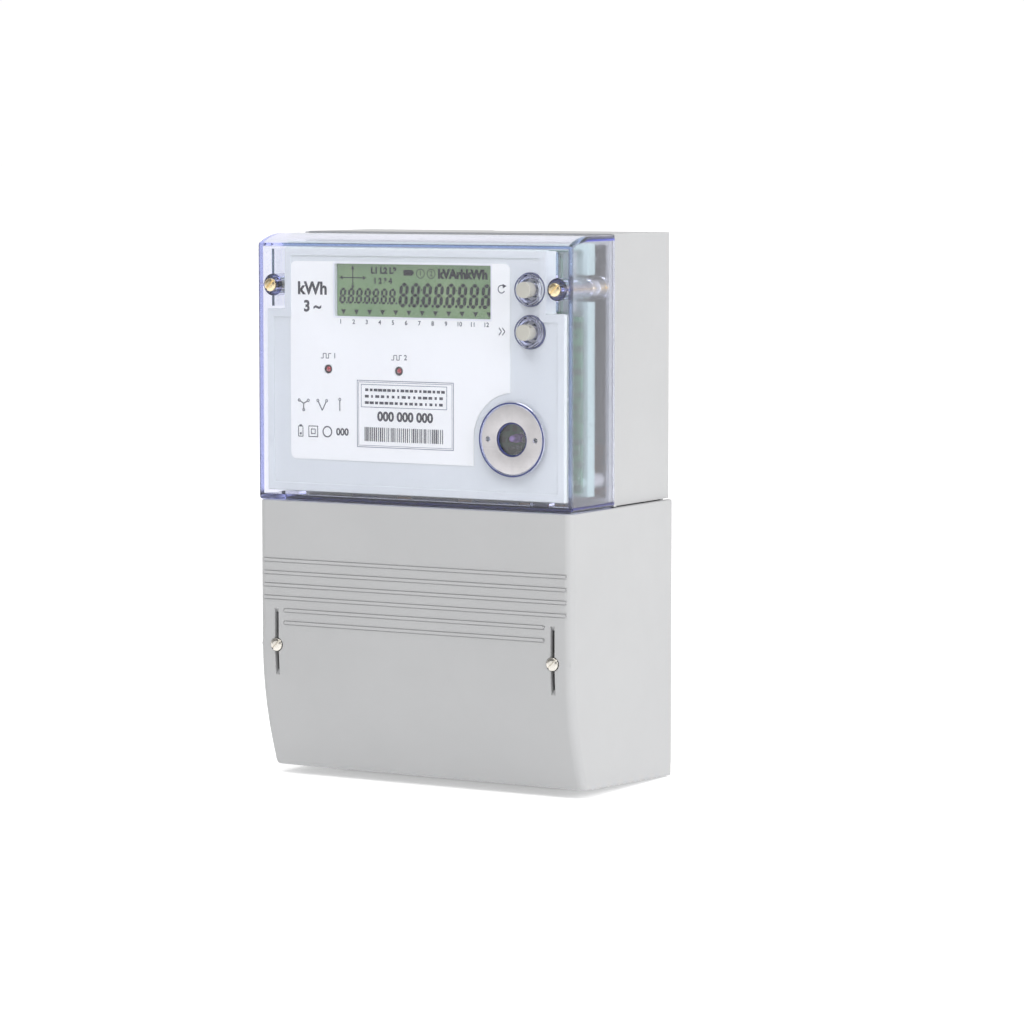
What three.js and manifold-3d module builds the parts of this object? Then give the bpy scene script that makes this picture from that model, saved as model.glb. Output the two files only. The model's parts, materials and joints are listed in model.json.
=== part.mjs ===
// Three-phase electricity meter for wall mounting: a grey rear case, a clear meter cover with two sealable
// push buttons and an optical port, and a grey terminal cover, with the boards, transformers, busbars and
// terminals that they enclose.
//
// Millimetres. +X to the right as seen from the front, +Y towards the wall, +Z up. The part is drawn with the
// wall at y = 0 and the lowest point at z = 0, and the last group moves the origin to the middle of the rear
// face.
import * as THREE from "three";
import { mergeVertices } from "three/addons/utils/BufferGeometryUtils.js";
import Module from "manifold-3d";

const wasm = await Module();
wasm.setup();

// ---------------------------------------------------------------- driving dimensions

const WIDTH = 170.8; // meter cover and terminal cover
const HEIGHT = 259.6;
const DEPTH = 98.3; // wall to the flat front of the meter cover
const WALL = 2.5;
const GAP = 0.3; // between pieces that meet without moving
const ORIGIN_Z = 130; // the middle of the rear face

const CASE_WIDTH = 166.8;
const SEAM_Y = -57; // rear case and meter cover meet here
const SPLIT_Z = 132.9; // meter cover and terminal cover meet here
const RIM = 2.5; // depth of the rear case's front rim
const TONGUE = 3; // how far the rear case reaches into the meter cover

const TERMINAL_COVER_TOP = 132.6;
const TERMINAL_COVER_DEPTH = 98;
const FRONT_CURVE_Z = 66; // the terminal cover's front leans back below this height
const FRONT_CURVE_R = 159;
const BOTTOM_FRONT_Z = 4; // the underside climbs this much from the wall to the front

const COVER_SCREW = { x: 77.2, z: 234.8, headY: -100.3, tipY: -54.5 };
const TERMINAL_COVER_SCREW = { x: 75.5, z: 63.5, headY: -99.0, tipY: -40.5 };
const SCREW_HEAD_R = 3.05;
const SCREW_HEAD = 2.0;
const SHANK_R = 2;
const SCREW_CLEAR_R = 2.4;
const INSERT_R = 3.2;
const RETAINER_R = 3.6;
const RETAINER_TRAVEL = 5.6; // eight turns of an M4 thread

const BUTTON_X = 62.8;
const BUTTON_Z = { reset: 234.6, select: 215.2 };
const CAP_R = 3.7;
const CAP_FRONT_Y = -103.3;
const BUTTON_BACK_Y = -88.4; // 2.2 mm of travel closes the gap to the switch, but for 0.1 mm
const WELL_R = 7.15;
const WELL_BORE_R = 5.25;

const PORT = { x: 54.2, z: 165.8, plateR: 16, holeR: 8, seatR: 17.4, pinX: 12.5 };

const FACE_Y = -94.9; // front of the faceplate
const FACE_HALF = 81;
const FACE_Z = [137.5, 252.6];
const NOTCH = { x: 71.2, z: 223.5 }; // the faceplate's upper corners step in round the screw pillars
const SKIRT = { inset: 5, depth: 9, wall: 1.6 }; // the low wall behind the faceplate

const LABEL = { x: [-67.8, 52], z: [152.8, 246.2], cornerR: 3, portR: 21.5 };
const LCD = { x: [-43, 41.8], z: [220.6, 245.2] };
const PULSE_LEDS = [
  { name: "pulse_led_1", x: -46.7, z: 195.6 },
  { name: "pulse_led_2", x: -7.7, z: 195.6 },
];

const DISPLAY_BOARD_Y = [-81.6, -80];
const CARRIER_Y = [-78, -71.5];
const METERING_BOARD_Y = [-45, -43.4];

const TERMINAL_COUNT = 8;
const TERMINAL_PITCH = 17;
const TERMINAL_BORE = 9;
const BLOCK = { half: 72, y: [-52, -6], z: [88, 131] };
const CAGE = { half: 6.1, y: [-47.5, -28.5], z: [91, 122], boreY: -36 };
const SCREW_LEVELS = [98, 110]; // each terminal is clamped by two screws
const LEG_Y = [-34, -31.5]; // the busbars' thickness lies between these
const BUSBAR_TOP = 160;
const CURRENT_TRANSFORMER = { z: [139, 152], radius: 12, holeR: 6 };
const AUXILIARY = { half: 33, frontY: -64, z: [116, 129], ways: 8, pitch: 7.5 };

const BACK = 3; // the rear case's back wall
const MOUTH = { half: 80.7, z: [137.3, 254.6] }; // the clear opening through the rim and tongue
const TONGUE_OUT = { half: 82.4, z: [135.7, 256.2] };
const GROOVE = { outHalf: 84.8, outZ: [133.9, 258.7], inHalf: 83.2, inZ: [135.5, 257.1] }; // for the gasket
const LOWER_PLATE_HALF = 80.5;
const HANGER = { half: 15.4, y: [-2.5, -1], z: [196, 257], keyR: 4.6, keyDrop: 14 };
const FIXING = { x: 75, z: 22, r: 3.5, bossR: 7, bossY: -8 };
const COVER_BOSS_R = 4.7;
const TOWER = { radius: 5, frontY: -46 }; // these carry the terminal cover's screws
const INSERT_LENGTH = 10;
const POST_R = 3.5;
const POSTS = [
  [-76.3, 145.5],
  [76.3, 145.5],
  [-64, 247],
  [64, 247],
];

const ROOF_R = 40.3;
const ROOF_Y = -80; // the meter cover's roof is level behind this line and curves down in front of it
const ROOF_Z = 259;
const PILLAR_R = 5.2;
const WELL_FRONT = 0.8; // how far the button wells stand proud of the front
const WELL_BACK_Y = -91;
const WELL_FLOOR = 1.2;
const PORT_SEAT = 0.6; // the raised ring round the port plate

const SPRING = { y: [-97.2, -92.5], radius: 3.1, wireR: 0.28, turns: 4, steps: 8 };

const RIBS = { firstZ: 104, pitch: 5.95, half: [83, 83, 83, 83, 71.1, 71.1], height: 0.45, width: 1.7 };
const SLOT = { width: 2, z: [48.2, 81], depth: 8 };
const HEAD_SEAT_Y = -96.8; // the floor under the terminal cover screws' heads
const CABLE_MOUTH = { half: 62, y: [-62, 5], z: [-5, 10] };
const BLOCK_ROOM = { y: [-56.5, 5], z: [120, 140] };

// How many flats stand for a circle: on plain rounds, on ones seen from close by, and on hidden ones.
const SEGMENTS = 16;
const FINE = 32;
const COARSE = 10;
const CORNER_STEPS = 8;
const CURVE_STEPS = 12;

// ---------------------------------------------------------------- finishes

const finish = (color, roughness, metalness = 0, opacity = 1) =>
  new THREE.MeshStandardMaterial({ color, roughness, metalness, opacity, transparent: opacity < 1 });

const FINISH = {
  case: finish(0xd6d8d5, 0.55),
  clear: finish(0xdfe4f5, 0.08, 0, 0.35),
  face: finish(0xe2e7f0, 0.4),
  label: finish(0xf0f3f8, 0.35),
  lcd: finish(0x86ae78, 0.2),
  frame: finish(0xf2f2ee, 0.5),
  carrier: finish(0xcfe3da, 0.45),
  board: finish(0x1f5a41, 0.5),
  rubber: finish(0x3a3d42, 0.8),
  button: finish(0xb9b9b3, 0.5),
  brass: finish(0xd9bf8a, 0.3, 1),
  copper: finish(0xc98a5c, 0.35, 1),
  steel: finish(0xd9d3cf, 0.35, 1),
  zinc: finish(0xb4b8bc, 0.45, 1),
  red: finish(0xa6202c, 0.2),
  dark: finish(0x2b2e33, 0.45),
  block: finish(0x4a4d50, 0.6),
  core: finish(0x2c5f9e, 0.5),
  battery: finish(0xe4e1d4, 0.4),
};

// ---------------------------------------------------------------- making, joining and cutting solids

// A closed three.js geometry as a solid that can be joined and cut.
function solid(geometry) {
  const bare = geometry.index ? geometry.toNonIndexed() : geometry.clone();
  bare.deleteAttribute("normal");
  bare.deleteAttribute("uv");
  const merged = mergeVertices(bare, 1e-4);
  return new wasm.Manifold(
    new wasm.Mesh({
      numProp: 3,
      vertProperties: merged.getAttribute("position").array,
      triVerts: new Uint32Array(merged.index.array),
    }),
  );
}

function box([x0, x1], [y0, y1], [z0, z1]) {
  const g = new THREE.BoxGeometry(x1 - x0, y1 - y0, z1 - z0);
  return solid(g.translate((x0 + x1) / 2, (y0 + y1) / 2, (z0 + z1) / 2));
}

// A round bar along Y, and one along Z.
function rodY(x, z, radius, [y0, y1], segments = SEGMENTS) {
  const g = new THREE.CylinderGeometry(radius, radius, y1 - y0, segments);
  return solid(g.translate(x, (y0 + y1) / 2, z));
}

function rodZ(x, y, radius, [z0, z1], segments = SEGMENTS) {
  const g = new THREE.CylinderGeometry(radius, radius, z1 - z0, segments);
  return solid(g.rotateX(Math.PI / 2).translate(x, y, (z0 + z1) / 2));
}

// Outlines drawn in one plane and given a thickness along the third axis.
function extruded(points, depth) {
  const shape = new THREE.Shape(points.map(([u, v]) => new THREE.Vector2(u, v)));
  return new THREE.ExtrudeGeometry(shape, { depth, bevelEnabled: false });
}

function prismX(outlineYZ, [x0, x1]) {
  const turn = new THREE.Matrix4().makeBasis(
    new THREE.Vector3(0, 1, 0),
    new THREE.Vector3(0, 0, 1),
    new THREE.Vector3(1, 0, 0),
  );
  return solid(extruded(outlineYZ, x1 - x0).applyMatrix4(turn).translate(x0, 0, 0));
}

function prismY(outlineXZ, [y0, y1]) {
  return solid(extruded(outlineXZ, y1 - y0).rotateX(Math.PI / 2).translate(0, y1, 0));
}

function prismZ(outlineXY, [z0, z1]) {
  return solid(extruded(outlineXY, z1 - z0).translate(0, 0, z0));
}

// A profile of [radius, distance along Y] turned about a line along Y. It starts and ends on the axis.
function turnedY(profile, x, z, segments = SEGMENTS) {
  const g = new THREE.LatheGeometry(profile.map(([r, y]) => new THREE.Vector2(r, y)), segments);
  return solid(g.translate(x, 0, z));
}

// Points on an arc from one angle to another, in degrees, both ends included.
function arc(u, v, radius, from, to, steps) {
  return Array.from({ length: steps + 1 }, (_, i) => {
    const a = THREE.MathUtils.degToRad(from + ((to - from) * i) / steps);
    return [u + radius * Math.cos(a), v + radius * Math.sin(a)];
  });
}

const joined = (first, ...rest) => rest.reduce((whole, piece) => whole.add(piece), first);
const cut = (first, ...rest) => rest.reduce((whole, piece) => whole.subtract(piece), first);
const bothSides = (make) => [make(-1), make(1)];
const grown = ([low, high], by) => [low - by, high + by];

// The stretch of X from a to b, on the left where s is -1 and on the right where it is 1.
const onSide = (s, a, b) => (s < 0 ? [-b, -a] : [a, b]);

// A flat rectangular ring in the XZ plane.
function ringY(halfOut, zOut, halfIn, zIn, y) {
  return cut(box([-halfOut, halfOut], y, zOut), box([-halfIn, halfIn], [y[0] - 1, y[1] + 1], zIn));
}

function mesh(name, made, material) {
  const { vertProperties, triVerts, numProp, numVert } = made.getMesh();
  const positions = new Float32Array(numVert * 3);
  for (let i = 0; i < numVert; i++) {
    positions.set(vertProperties.subarray(i * numProp, i * numProp + 3), i * 3);
  }
  const geometry = new THREE.BufferGeometry();
  geometry.setAttribute("position", new THREE.BufferAttribute(positions, 3));
  geometry.setIndex(new THREE.BufferAttribute(triVerts, 1));
  geometry.computeVertexNormals();
  const piece = new THREE.Mesh(geometry, material);
  piece.name = name;
  return piece;
}

// ---------------------------------------------------------------- rear case

const CASE_HALF = CASE_WIDTH / 2;
const COVER_HALF = WIDTH / 2;
const CASE_Z = [SPLIT_Z + GAP, HEIGHT];
const CAVITY_HALF = CASE_HALF - WALL;

function rearCase() {
  const rim = [SEAM_Y, SEAM_Y + RIM];
  const shell = cut(
    box([-CASE_HALF, CASE_HALF], [SEAM_Y + 1, 0], CASE_Z),
    box([-CAVITY_HALF, CAVITY_HALF], [SEAM_Y, -BACK], [CASE_Z[0] + WALL, CASE_Z[1] - WALL]),
  );
  const flange = ringY(COVER_HALF - 0.4, [CASE_Z[0], HEIGHT - 0.3], MOUTH.half, MOUTH.z, rim);
  const tongue = ringY(TONGUE_OUT.half, TONGUE_OUT.z, MOUTH.half, MOUTH.z, [SEAM_Y - TONGUE, SEAM_Y + 1]);
  const lowerPlate = box([-LOWER_PLATE_HALF, LOWER_PLATE_HALF], [-BACK, 0], [4, CASE_Z[0] + 1]);
  const hangerPad = box([-20, 20], [-9, 0], [188, CASE_Z[1] - 1]);
  const posts = POSTS.map(([x, z]) => rodY(x, z, POST_R, [CARRIER_Y[1] + GAP, -1], COARSE));
  const coverBosses = bothSides((s) =>
    rodY(s * COVER_SCREW.x, COVER_SCREW.z, COVER_BOSS_R, [SEAM_Y - TONGUE, -1]),
  );
  const coverTowers = bothSides((s) =>
    rodY(s * TERMINAL_COVER_SCREW.x, TERMINAL_COVER_SCREW.z, TOWER.radius, [TOWER.frontY, -1]),
  );
  const fixingBosses = bothSides((s) => rodY(s * FIXING.x, FIXING.z, FIXING.bossR, [FIXING.bossY, 0]));
  const fixingBossTrim = box([-LOWER_PLATE_HALF, LOWER_PLATE_HALF], [-10, 1], [0, 60]);
  const whole = joined(
    shell,
    flange,
    tongue,
    lowerPlate,
    hangerPad,
    ...posts,
    ...coverBosses,
    ...coverTowers,
    ...fixingBosses.map((boss) => boss.intersect(fixingBossTrim)),
  );

  const insertHole = (x, z, front) => [
    rodY(x, z, INSERT_R + 0.1, [front - 1, front + INSERT_LENGTH + 0.5], 12),
    rodY(x, z, SCREW_CLEAR_R, [front, front + 17], 12),
  ];
  const { outHalf, outZ, inHalf, inZ } = GROOVE;
  const gasketGroove = ringY(outHalf, outZ, inHalf, inZ, [SEAM_Y - 1, SEAM_Y + 1]);
  const hangerSlot = [
    box([-HANGER.half - 0.3, HANGER.half + 0.3], [-2.7, -0.8], [HANGER.z[0] - 0.3, HEIGHT + 1]),
    box([-13.5, 13.5], [-2, 1], [HANGER.z[0] - 0.3, HEIGHT + 1]),
    box([-11, 11], [-6.5, -1], [HANGER.z[0] - 0.3, HEIGHT + 1]),
  ];
  const legSlots = terminalPlaces().map((x) =>
    box([x - 5, x + 5], [LEG_Y[0] - 2, LEG_Y[1] + 2], [CASE_Z[0] - 1, CASE_Z[0] + WALL + 1]),
  );
  return cut(
    whole,
    ...bothSides((s) => insertHole(s * COVER_SCREW.x, COVER_SCREW.z, SEAM_Y - TONGUE)).flat(),
    ...bothSides((s) => insertHole(s * TERMINAL_COVER_SCREW.x, TERMINAL_COVER_SCREW.z, TOWER.frontY)).flat(),
    ...bothSides((s) => rodY(s * FIXING.x, FIXING.z, FIXING.r, [-12, 1])),
    gasketGroove,
    ...hangerSlot,
    ...legSlots,
  );
}

// A steel plate with a keyhole. It slides up out of its guides when the hanging hole has to be reached.
function hangingBracket() {
  const plate = box([-HANGER.half, HANGER.half], HANGER.y, HANGER.z);
  const keyZ = HANGER.z[1] - HANGER.keyDrop;
  const keyhole = rodY(0, keyZ, HANGER.keyR, [-4, 1]);
  const neck = box([-2.6, 2.6], [-4, 1], [keyZ, HANGER.z[1] - 5]);
  const pull = rodY(0, HANGER.z[0] + 10, 3, [-4, 1]);
  return cut(plate, keyhole, neck, pull);
}

function coverGasket() {
  const { outHalf, outZ, inHalf, inZ } = GROOVE;
  return ringY(outHalf - 0.1, grown(outZ, -0.1), inHalf + 0.1, grown(inZ, 0.1), [SEAM_Y - 0.3, SEAM_Y + 0.9]);
}

// ---------------------------------------------------------------- meter cover

const COVER_BACK_Y = SEAM_Y - 0.4;

// The cover's outline from the side, taken in by a wall's thickness for the inside.
function coverOutline(inset, backY) {
  const front = -DEPTH + inset;
  const bottom = SPLIT_Z + inset;
  const sweep = THREE.MathUtils.radToDeg(Math.asin((ROOF_Y - front) / (ROOF_R - inset)));
  const roof = arc(ROOF_Y, ROOF_Z - ROOF_R, ROOF_R - inset, 90, 90 + sweep, CURVE_STEPS);
  return [
    [backY, bottom],
    [backY, ROOF_Z - inset],
    ...roof,
    [front, bottom + 1],
    [front + 1, bottom],
  ];
}

// A rectangle in plan whose two front corners are rounded.
function planOutline(half, frontY, backY, radius) {
  return [
    [half, backY],
    [-half, backY],
    ...arc(-half + radius, frontY + radius, radius, 180, 270, CORNER_STEPS),
    ...arc(half - radius, frontY + radius, radius, 270, 360, CORNER_STEPS),
  ];
}

function meterCover() {
  const outer = prismX(coverOutline(0, COVER_BACK_Y), [-COVER_HALF, COVER_HALF]).intersect(
    prismZ(planOutline(COVER_HALF, -DEPTH, 0, 2), [100, 300]),
  );
  const innerHalf = COVER_HALF - WALL;
  const inner = prismX(coverOutline(WALL, -40), [-innerHalf, innerHalf]);
  const shell = cut(outer, inner);

  const { x: sx, z: sz } = COVER_SCREW;
  const pillarY = [-DEPTH + 0.5, SEAM_Y - TONGUE - GAP];
  const webY = [-DEPTH + 1, -84];
  const pillars = bothSides((s) => rodY(s * sx, sz, PILLAR_R, pillarY, FINE));
  const webs = bothSides((s) => [
    box([s * sx - 0.7, s * sx + 0.7], webY, [sz - 10, sz + 17]),
    box(onSide(s, sx, innerHalf + 1), [-DEPTH + 1, -62], grown([sz, sz], 0.6)),
  ]).flat();
  const hookZ = [SPLIT_Z + 1, SPLIT_Z + 4.2];
  const hooks = bothSides((s) => box(onSide(s, 63, 73), [-DEPTH + 1, -90], hookZ));
  const screwBores = bothSides((s) => [
    rodY(s * sx, sz, SCREW_CLEAR_R, [-DEPTH - 1, -50], FINE),
    rodY(s * sx, sz, RETAINER_R + 0.4, [retainerY(COVER_SCREW)[0] - RETAINER_TRAVEL - 0.6, -50], FINE),
  ]).flat();

  const wellY = [-DEPTH - WELL_FRONT, WELL_BACK_Y];
  const wells = Object.values(BUTTON_Z).map((z) => rodY(BUTTON_X, z, WELL_R, wellY, FINE));
  const wellBores = Object.values(BUTTON_Z).flatMap((z) => [
    rodY(BUTTON_X, z, WELL_BORE_R, [-DEPTH - 2, WELL_BACK_Y - WELL_FLOOR], FINE),
    rodY(BUTTON_X, z, 2.5, [-95, -90]),
  ]);

  const portSeat = rodY(PORT.x, PORT.z, PORT.seatR, [-DEPTH - PORT_SEAT, -DEPTH + 1], FINE);
  const portRecess = cut(
    rodY(PORT.x, PORT.z, PORT.plateR + 0.3, [-DEPTH - 2, -DEPTH + 0.9], FINE),
    ...bothSides((s) => rodY(PORT.x + s * PORT.pinX, PORT.z, 0.9, [-DEPTH - 0.3, -DEPTH + 1], 8)),
  );
  return cut(
    joined(shell, ...pillars, ...webs, ...hooks, ...wells, portSeat),
    ...screwBores,
    ...wellBores,
    portRecess,
  );
}

// A soft iron ring that the magnet of an optical reading head holds on to.
function portPlate() {
  return cut(
    rodY(PORT.x, PORT.z, PORT.plateR, [-DEPTH - 0.4, -DEPTH + 0.6], FINE),
    rodY(PORT.x, PORT.z, PORT.holeR, [-DEPTH - 2, -DEPTH + 2], 20),
    ...bothSides((s) => rodY(PORT.x + s * PORT.pinX, PORT.z, 1.2, [-DEPTH - 2, -DEPTH + 2], 8)),
  );
}

// ---------------------------------------------------------------- sealing screws

function sealingScrew({ x, z, headY, tipY }, s) {
  const seat = headY + SCREW_HEAD;
  const groove = retainerY({ tipY });
  const body = turnedY(
    [
      [0, headY],
      [SCREW_HEAD_R - 0.5, headY],
      [SCREW_HEAD_R, headY + 0.5],
      [SCREW_HEAD_R, seat],
      [SHANK_R, seat],
      [SHANK_R, groove[0] - 0.1],
      [SHANK_R - 0.5, groove[0] - 0.1],
      [SHANK_R - 0.5, groove[1] + 0.1],
      [SHANK_R, groove[1] + 0.1],
      [SHANK_R, tipY - 1],
      [SHANK_R - 0.8, tipY],
      [0, tipY],
    ],
    s * x,
    z,
  );
  const slot = solid(
    new THREE.BoxGeometry(8, 2, 0.9)
      .rotateY(THREE.MathUtils.degToRad(45))
      .translate(s * x, headY, z),
  );
  return cut(body, slot);
}

// Where a captive screw's retaining ring sits along Y: just ahead of the threaded insert.
function retainerY({ tipY }) {
  return [tipY - 13.4, tipY - 12.4];
}

function screwRetainer(screw, s) {
  const y = retainerY(screw);
  return cut(
    rodY(s * screw.x, screw.z, RETAINER_R, y, 12),
    rodY(s * screw.x, screw.z, SHANK_R - 0.3, [y[0] - 1, y[1] + 1], 12),
  );
}

function threadedInsert(x, z, front) {
  return cut(
    rodY(x, z, INSERT_R, [front + GAP, front + INSERT_LENGTH], 12),
    rodY(x, z, SHANK_R + 0.25, [front - 1, front + INSERT_LENGTH + 1], 12),
  );
}

// ---------------------------------------------------------------- push buttons

function buttonPlunger(z) {
  const body = turnedY(
    [
      [0, CAP_FRONT_Y],
      [CAP_R - 0.4, CAP_FRONT_Y],
      [CAP_R, CAP_FRONT_Y + 0.4],
      [CAP_R, -97.5],
      [2.2, -97.5],
      [2.2, -89.8],
      [3.4, -89.8],
      [3.4, -88.9],
      [2.2, -88.9],
      [2.2, BUTTON_BACK_Y],
      [0, BUTTON_BACK_Y],
    ],
    BUTTON_X,
    z,
  );
  const wireHole = solid(
    new THREE.CylinderGeometry(0.65, 0.65, 12, 8)
      .rotateZ(Math.PI / 2)
      .rotateY(THREE.MathUtils.degToRad(45))
      .translate(BUTTON_X, -101.2, z),
  );
  return cut(body, wireHole);
}

function buttonSpring(z) {
  const { y, radius, wireR, turns, steps } = SPRING;
  const pitch = (y[1] - y[0] - 2 * wireR) / turns;
  const points = Array.from({ length: turns * steps + 1 }, (_, i) => {
    const a = (i / steps) * 2 * Math.PI;
    return new THREE.Vector3(
      BUTTON_X + radius * Math.cos(a),
      y[0] + wireR + (pitch * i) / steps,
      z + radius * Math.sin(a),
    );
  });
  const section = new THREE.Shape(arc(0, 0, wireR, 0, 270, 3).map(([u, v]) => new THREE.Vector2(u, v)));
  return solid(
    new THREE.ExtrudeGeometry(section, {
      extrudePath: new THREE.CatmullRomCurve3(points),
      steps: turns * steps,
      bevelEnabled: false,
    }),
  );
}

const buttonSeal = (z) => cut(rodY(BUTTON_X, z, 3.6, [-90.9, -90]), rodY(BUTTON_X, z, 2.35, [-92, -89]));

function pushSwitch(z) {
  return joined(
    box([BUTTON_X - 3, BUTTON_X + 3], [-85, DISPLAY_BOARD_Y[0] - 0.1], [z - 3, z + 3]),
    rodY(BUTTON_X, z, 1.7, [-86.1, -84], COARSE),
  );
}

// ---------------------------------------------------------------- faceplate and what it frames

function notched(half, z, frontBack) {
  const plate = box([-half, half], frontBack, z);
  const corner = (s) => box(onSide(s, NOTCH.x, 90), grown(frontBack, 1), [NOTCH.z, 300]);
  return cut(plate, ...bothSides(corner));
}

function faceplate() {
  const front = notched(FACE_HALF, FACE_Z, [FACE_Y, FACE_Y + 2]);
  const half = FACE_HALF - SKIRT.inset;
  const bottom = FACE_Z[0] + SKIRT.inset;
  const top = FACE_Z[1] - 0.5;
  const inside = [FACE_Y + 1, FACE_Y + SKIRT.depth + 1];
  const skirtOut = notched(half, [bottom, top], [FACE_Y, FACE_Y + SKIRT.depth]);
  const room = (halfWidth, high) =>
    box(grown([-halfWidth, halfWidth], -SKIRT.wall), inside, grown([bottom, high], -SKIRT.wall));
  return cut(
    joined(front, cut(skirtOut, room(NOTCH.x, top), room(half, NOTCH.z))),
    box(LCD.x, [-100, -90], LCD.z),
    rodY(PORT.x, PORT.z, 11, [-100, -90], 20),
    ...PULSE_LEDS.map(({ x, z }) => rodY(x, z, 1.8, [-100, -90], COARSE)),
    ...Object.values(BUTTON_Z).map((z) => rodY(BUTTON_X, z, WELL_R + 0.5, [-100, -90], FINE)),
  );
}

// The printed film on the faceplate, with rounded corners and a round bite beside the optical port.
function labelSheet() {
  const { x, z, cornerR: r, portR } = LABEL;
  const outline = [
    ...arc(x[0] + r, z[0] + r, r, 180, 270, 4),
    ...arc(x[1] - r, z[0] + r, r, 270, 360, 4),
    ...arc(x[1] - r, z[1] - r, r, 0, 90, 4),
    ...arc(x[0] + r, z[1] - r, r, 90, 180, 4),
  ];
  const y = [FACE_Y - 0.4, FACE_Y - 0.1];
  return cut(
    prismY(outline, y),
    rodY(PORT.x, PORT.z, portR, [-97, -92], FINE),
    box([PORT.x - portR, 90], [-97, -92], [100, PORT.z]),
    box(LCD.x, [-97, -92], LCD.z),
    ...PULSE_LEDS.map((led) => rodY(led.x, led.z, 1.8, [-97, -92], COARSE)),
  );
}

const lcdGlass = () => box(grown(LCD.x, 2.5), [FACE_Y + 2.1, FACE_Y + 4.9], grown(LCD.z, 2.5));

const lcdBacklight = () => box(grown(LCD.x, 1), [FACE_Y + 5.1, FACE_Y + 8.5], grown(LCD.z, 0.5));

function lcdFrame() {
  const outside = box(grown(LCD.x, 5), [FACE_Y + 5, DISPLAY_BOARD_Y[0] - 0.1], grown(LCD.z, 3.9));
  const inside = box(grown(LCD.x, 1.4), [FACE_Y + 4, DISPLAY_BOARD_Y[0] + 1], grown(LCD.z, 0.9));
  const channel = box(LCD.x, [FACE_Y + 4, DISPLAY_BOARD_Y[0] + 1], [LCD.z[1] + 1.3, LCD.z[1] + 3.1]);
  return cut(outside, inside, channel);
}

const lcdContactStrip = () =>
  box(grown(LCD.x, -0.4), [FACE_Y + 5.1, DISPLAY_BOARD_Y[0] - 0.2], [LCD.z[1] + 1.5, LCD.z[1] + 2.9]);

function pulseLed({ x, z }) {
  const lens = turnedY(
    [
      [0, FACE_Y - 0.6],
      [0.9, FACE_Y - 0.4],
      [1.5, FACE_Y + 0.4],
      [1.5, FACE_Y + 3.4],
      [1.9, FACE_Y + 3.4],
      [1.9, FACE_Y + 4.4],
      [0, FACE_Y + 4.4],
    ],
    x,
    z,
    12,
  );
  const leads = [-0.9, 0.9].map((dx) => rodY(x + dx, z, 0.3, [FACE_Y + 4, DISPLAY_BOARD_Y[0] - 0.1], 6));
  return joined(lens, ...leads);
}

function infraredPart(dx) {
  const x = PORT.x + dx;
  return turnedY(
    [
      [0, -92.5],
      [1.1, -92.1],
      [1.6, -91],
      [1.6, -88],
      [2, -88],
      [2, DISPLAY_BOARD_Y[0] - 0.1],
      [0, DISPLAY_BOARD_Y[0] - 0.1],
    ],
    x,
    PORT.z,
    12,
  );
}

// ---------------------------------------------------------------- boards and their carrier

const boardNotch = (s) => box(onSide(s, NOTCH.x - 0.7, 90), [-90, -60], [NOTCH.z - 1.5, 300]);

function displayBoard() {
  return cut(
    box([-79.6, 79.6], DISPLAY_BOARD_Y, [141, 251]),
    ...bothSides(boardNotch),
    ...POSTS.map(([x, z]) => rodY(x, z, 1.6, [-90, -70], 8)),
  );
}

// A pale moulded tray behind the display board. Its edge shows through the clear cover's sides.
function boardCarrier() {
  const out = { half: 81.2, z: [139, 255.4] };
  const floor = box([-out.half, out.half], [CARRIER_Y[1] - 2, CARRIER_Y[1]], out.z);
  const rail = ringY(out.half, out.z, out.half - 3, [out.z[0] + 3, out.z[1] - 3], CARRIER_Y);
  const standoffY = [DISPLAY_BOARD_Y[1] + 0.1, CARRIER_Y[1] - 1];
  const standoffs = POSTS.map(([x, z]) => rodY(x, z, 3.2, standoffY, COARSE));
  const pillarRoom = (s) => box(onSide(s, 71, 90), [-90, -60], grown([COVER_SCREW.z, COVER_SCREW.z], 6.1));
  return cut(
    joined(floor, rail, ...standoffs),
    ...bothSides(pillarRoom),
    box([-15, 15], [-80, -60], [196, 209]),
    ...POSTS.map(([x, z]) => rodY(x, z, 1.2, [-90, -60], 8)),
  );
}

const meteringBoard = () => box([-59, 59], METERING_BOARD_Y, [162, 250]);

const boardLink = () => box([-11, 11], grown([DISPLAY_BOARD_Y[1], METERING_BOARD_Y[0]], -0.1), [199.5, 205]);

function supplyTransformer() {
  const core = box([-50, -18], [METERING_BOARD_Y[1] + 0.2, -20], [188, 216]);
  const winding = box([-45, -23], [METERING_BOARD_Y[1] + 0.2, -14], [183, 221]);
  return joined(core, winding);
}

const filterCapacitor = () => rodY(2, 232, 6.2, [METERING_BOARD_Y[1] + 0.2, -20]);

function backupBattery() {
  const g = new THREE.CylinderGeometry(7.2, 7.2, 25, SEGMENTS).rotateZ(Math.PI / 2).translate(30, -53.5, 228);
  const tip = new THREE.CylinderGeometry(2.5, 2.5, 27, COARSE).rotateZ(Math.PI / 2).translate(31, -53.5, 228);
  return joined(solid(g), solid(tip));
}

// ---------------------------------------------------------------- terminals and current transformers

function terminalPlaces() {
  const first = (-(TERMINAL_COUNT - 1) * TERMINAL_PITCH) / 2;
  return Array.from({ length: TERMINAL_COUNT }, (_, i) => first + i * TERMINAL_PITCH);
}

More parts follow.
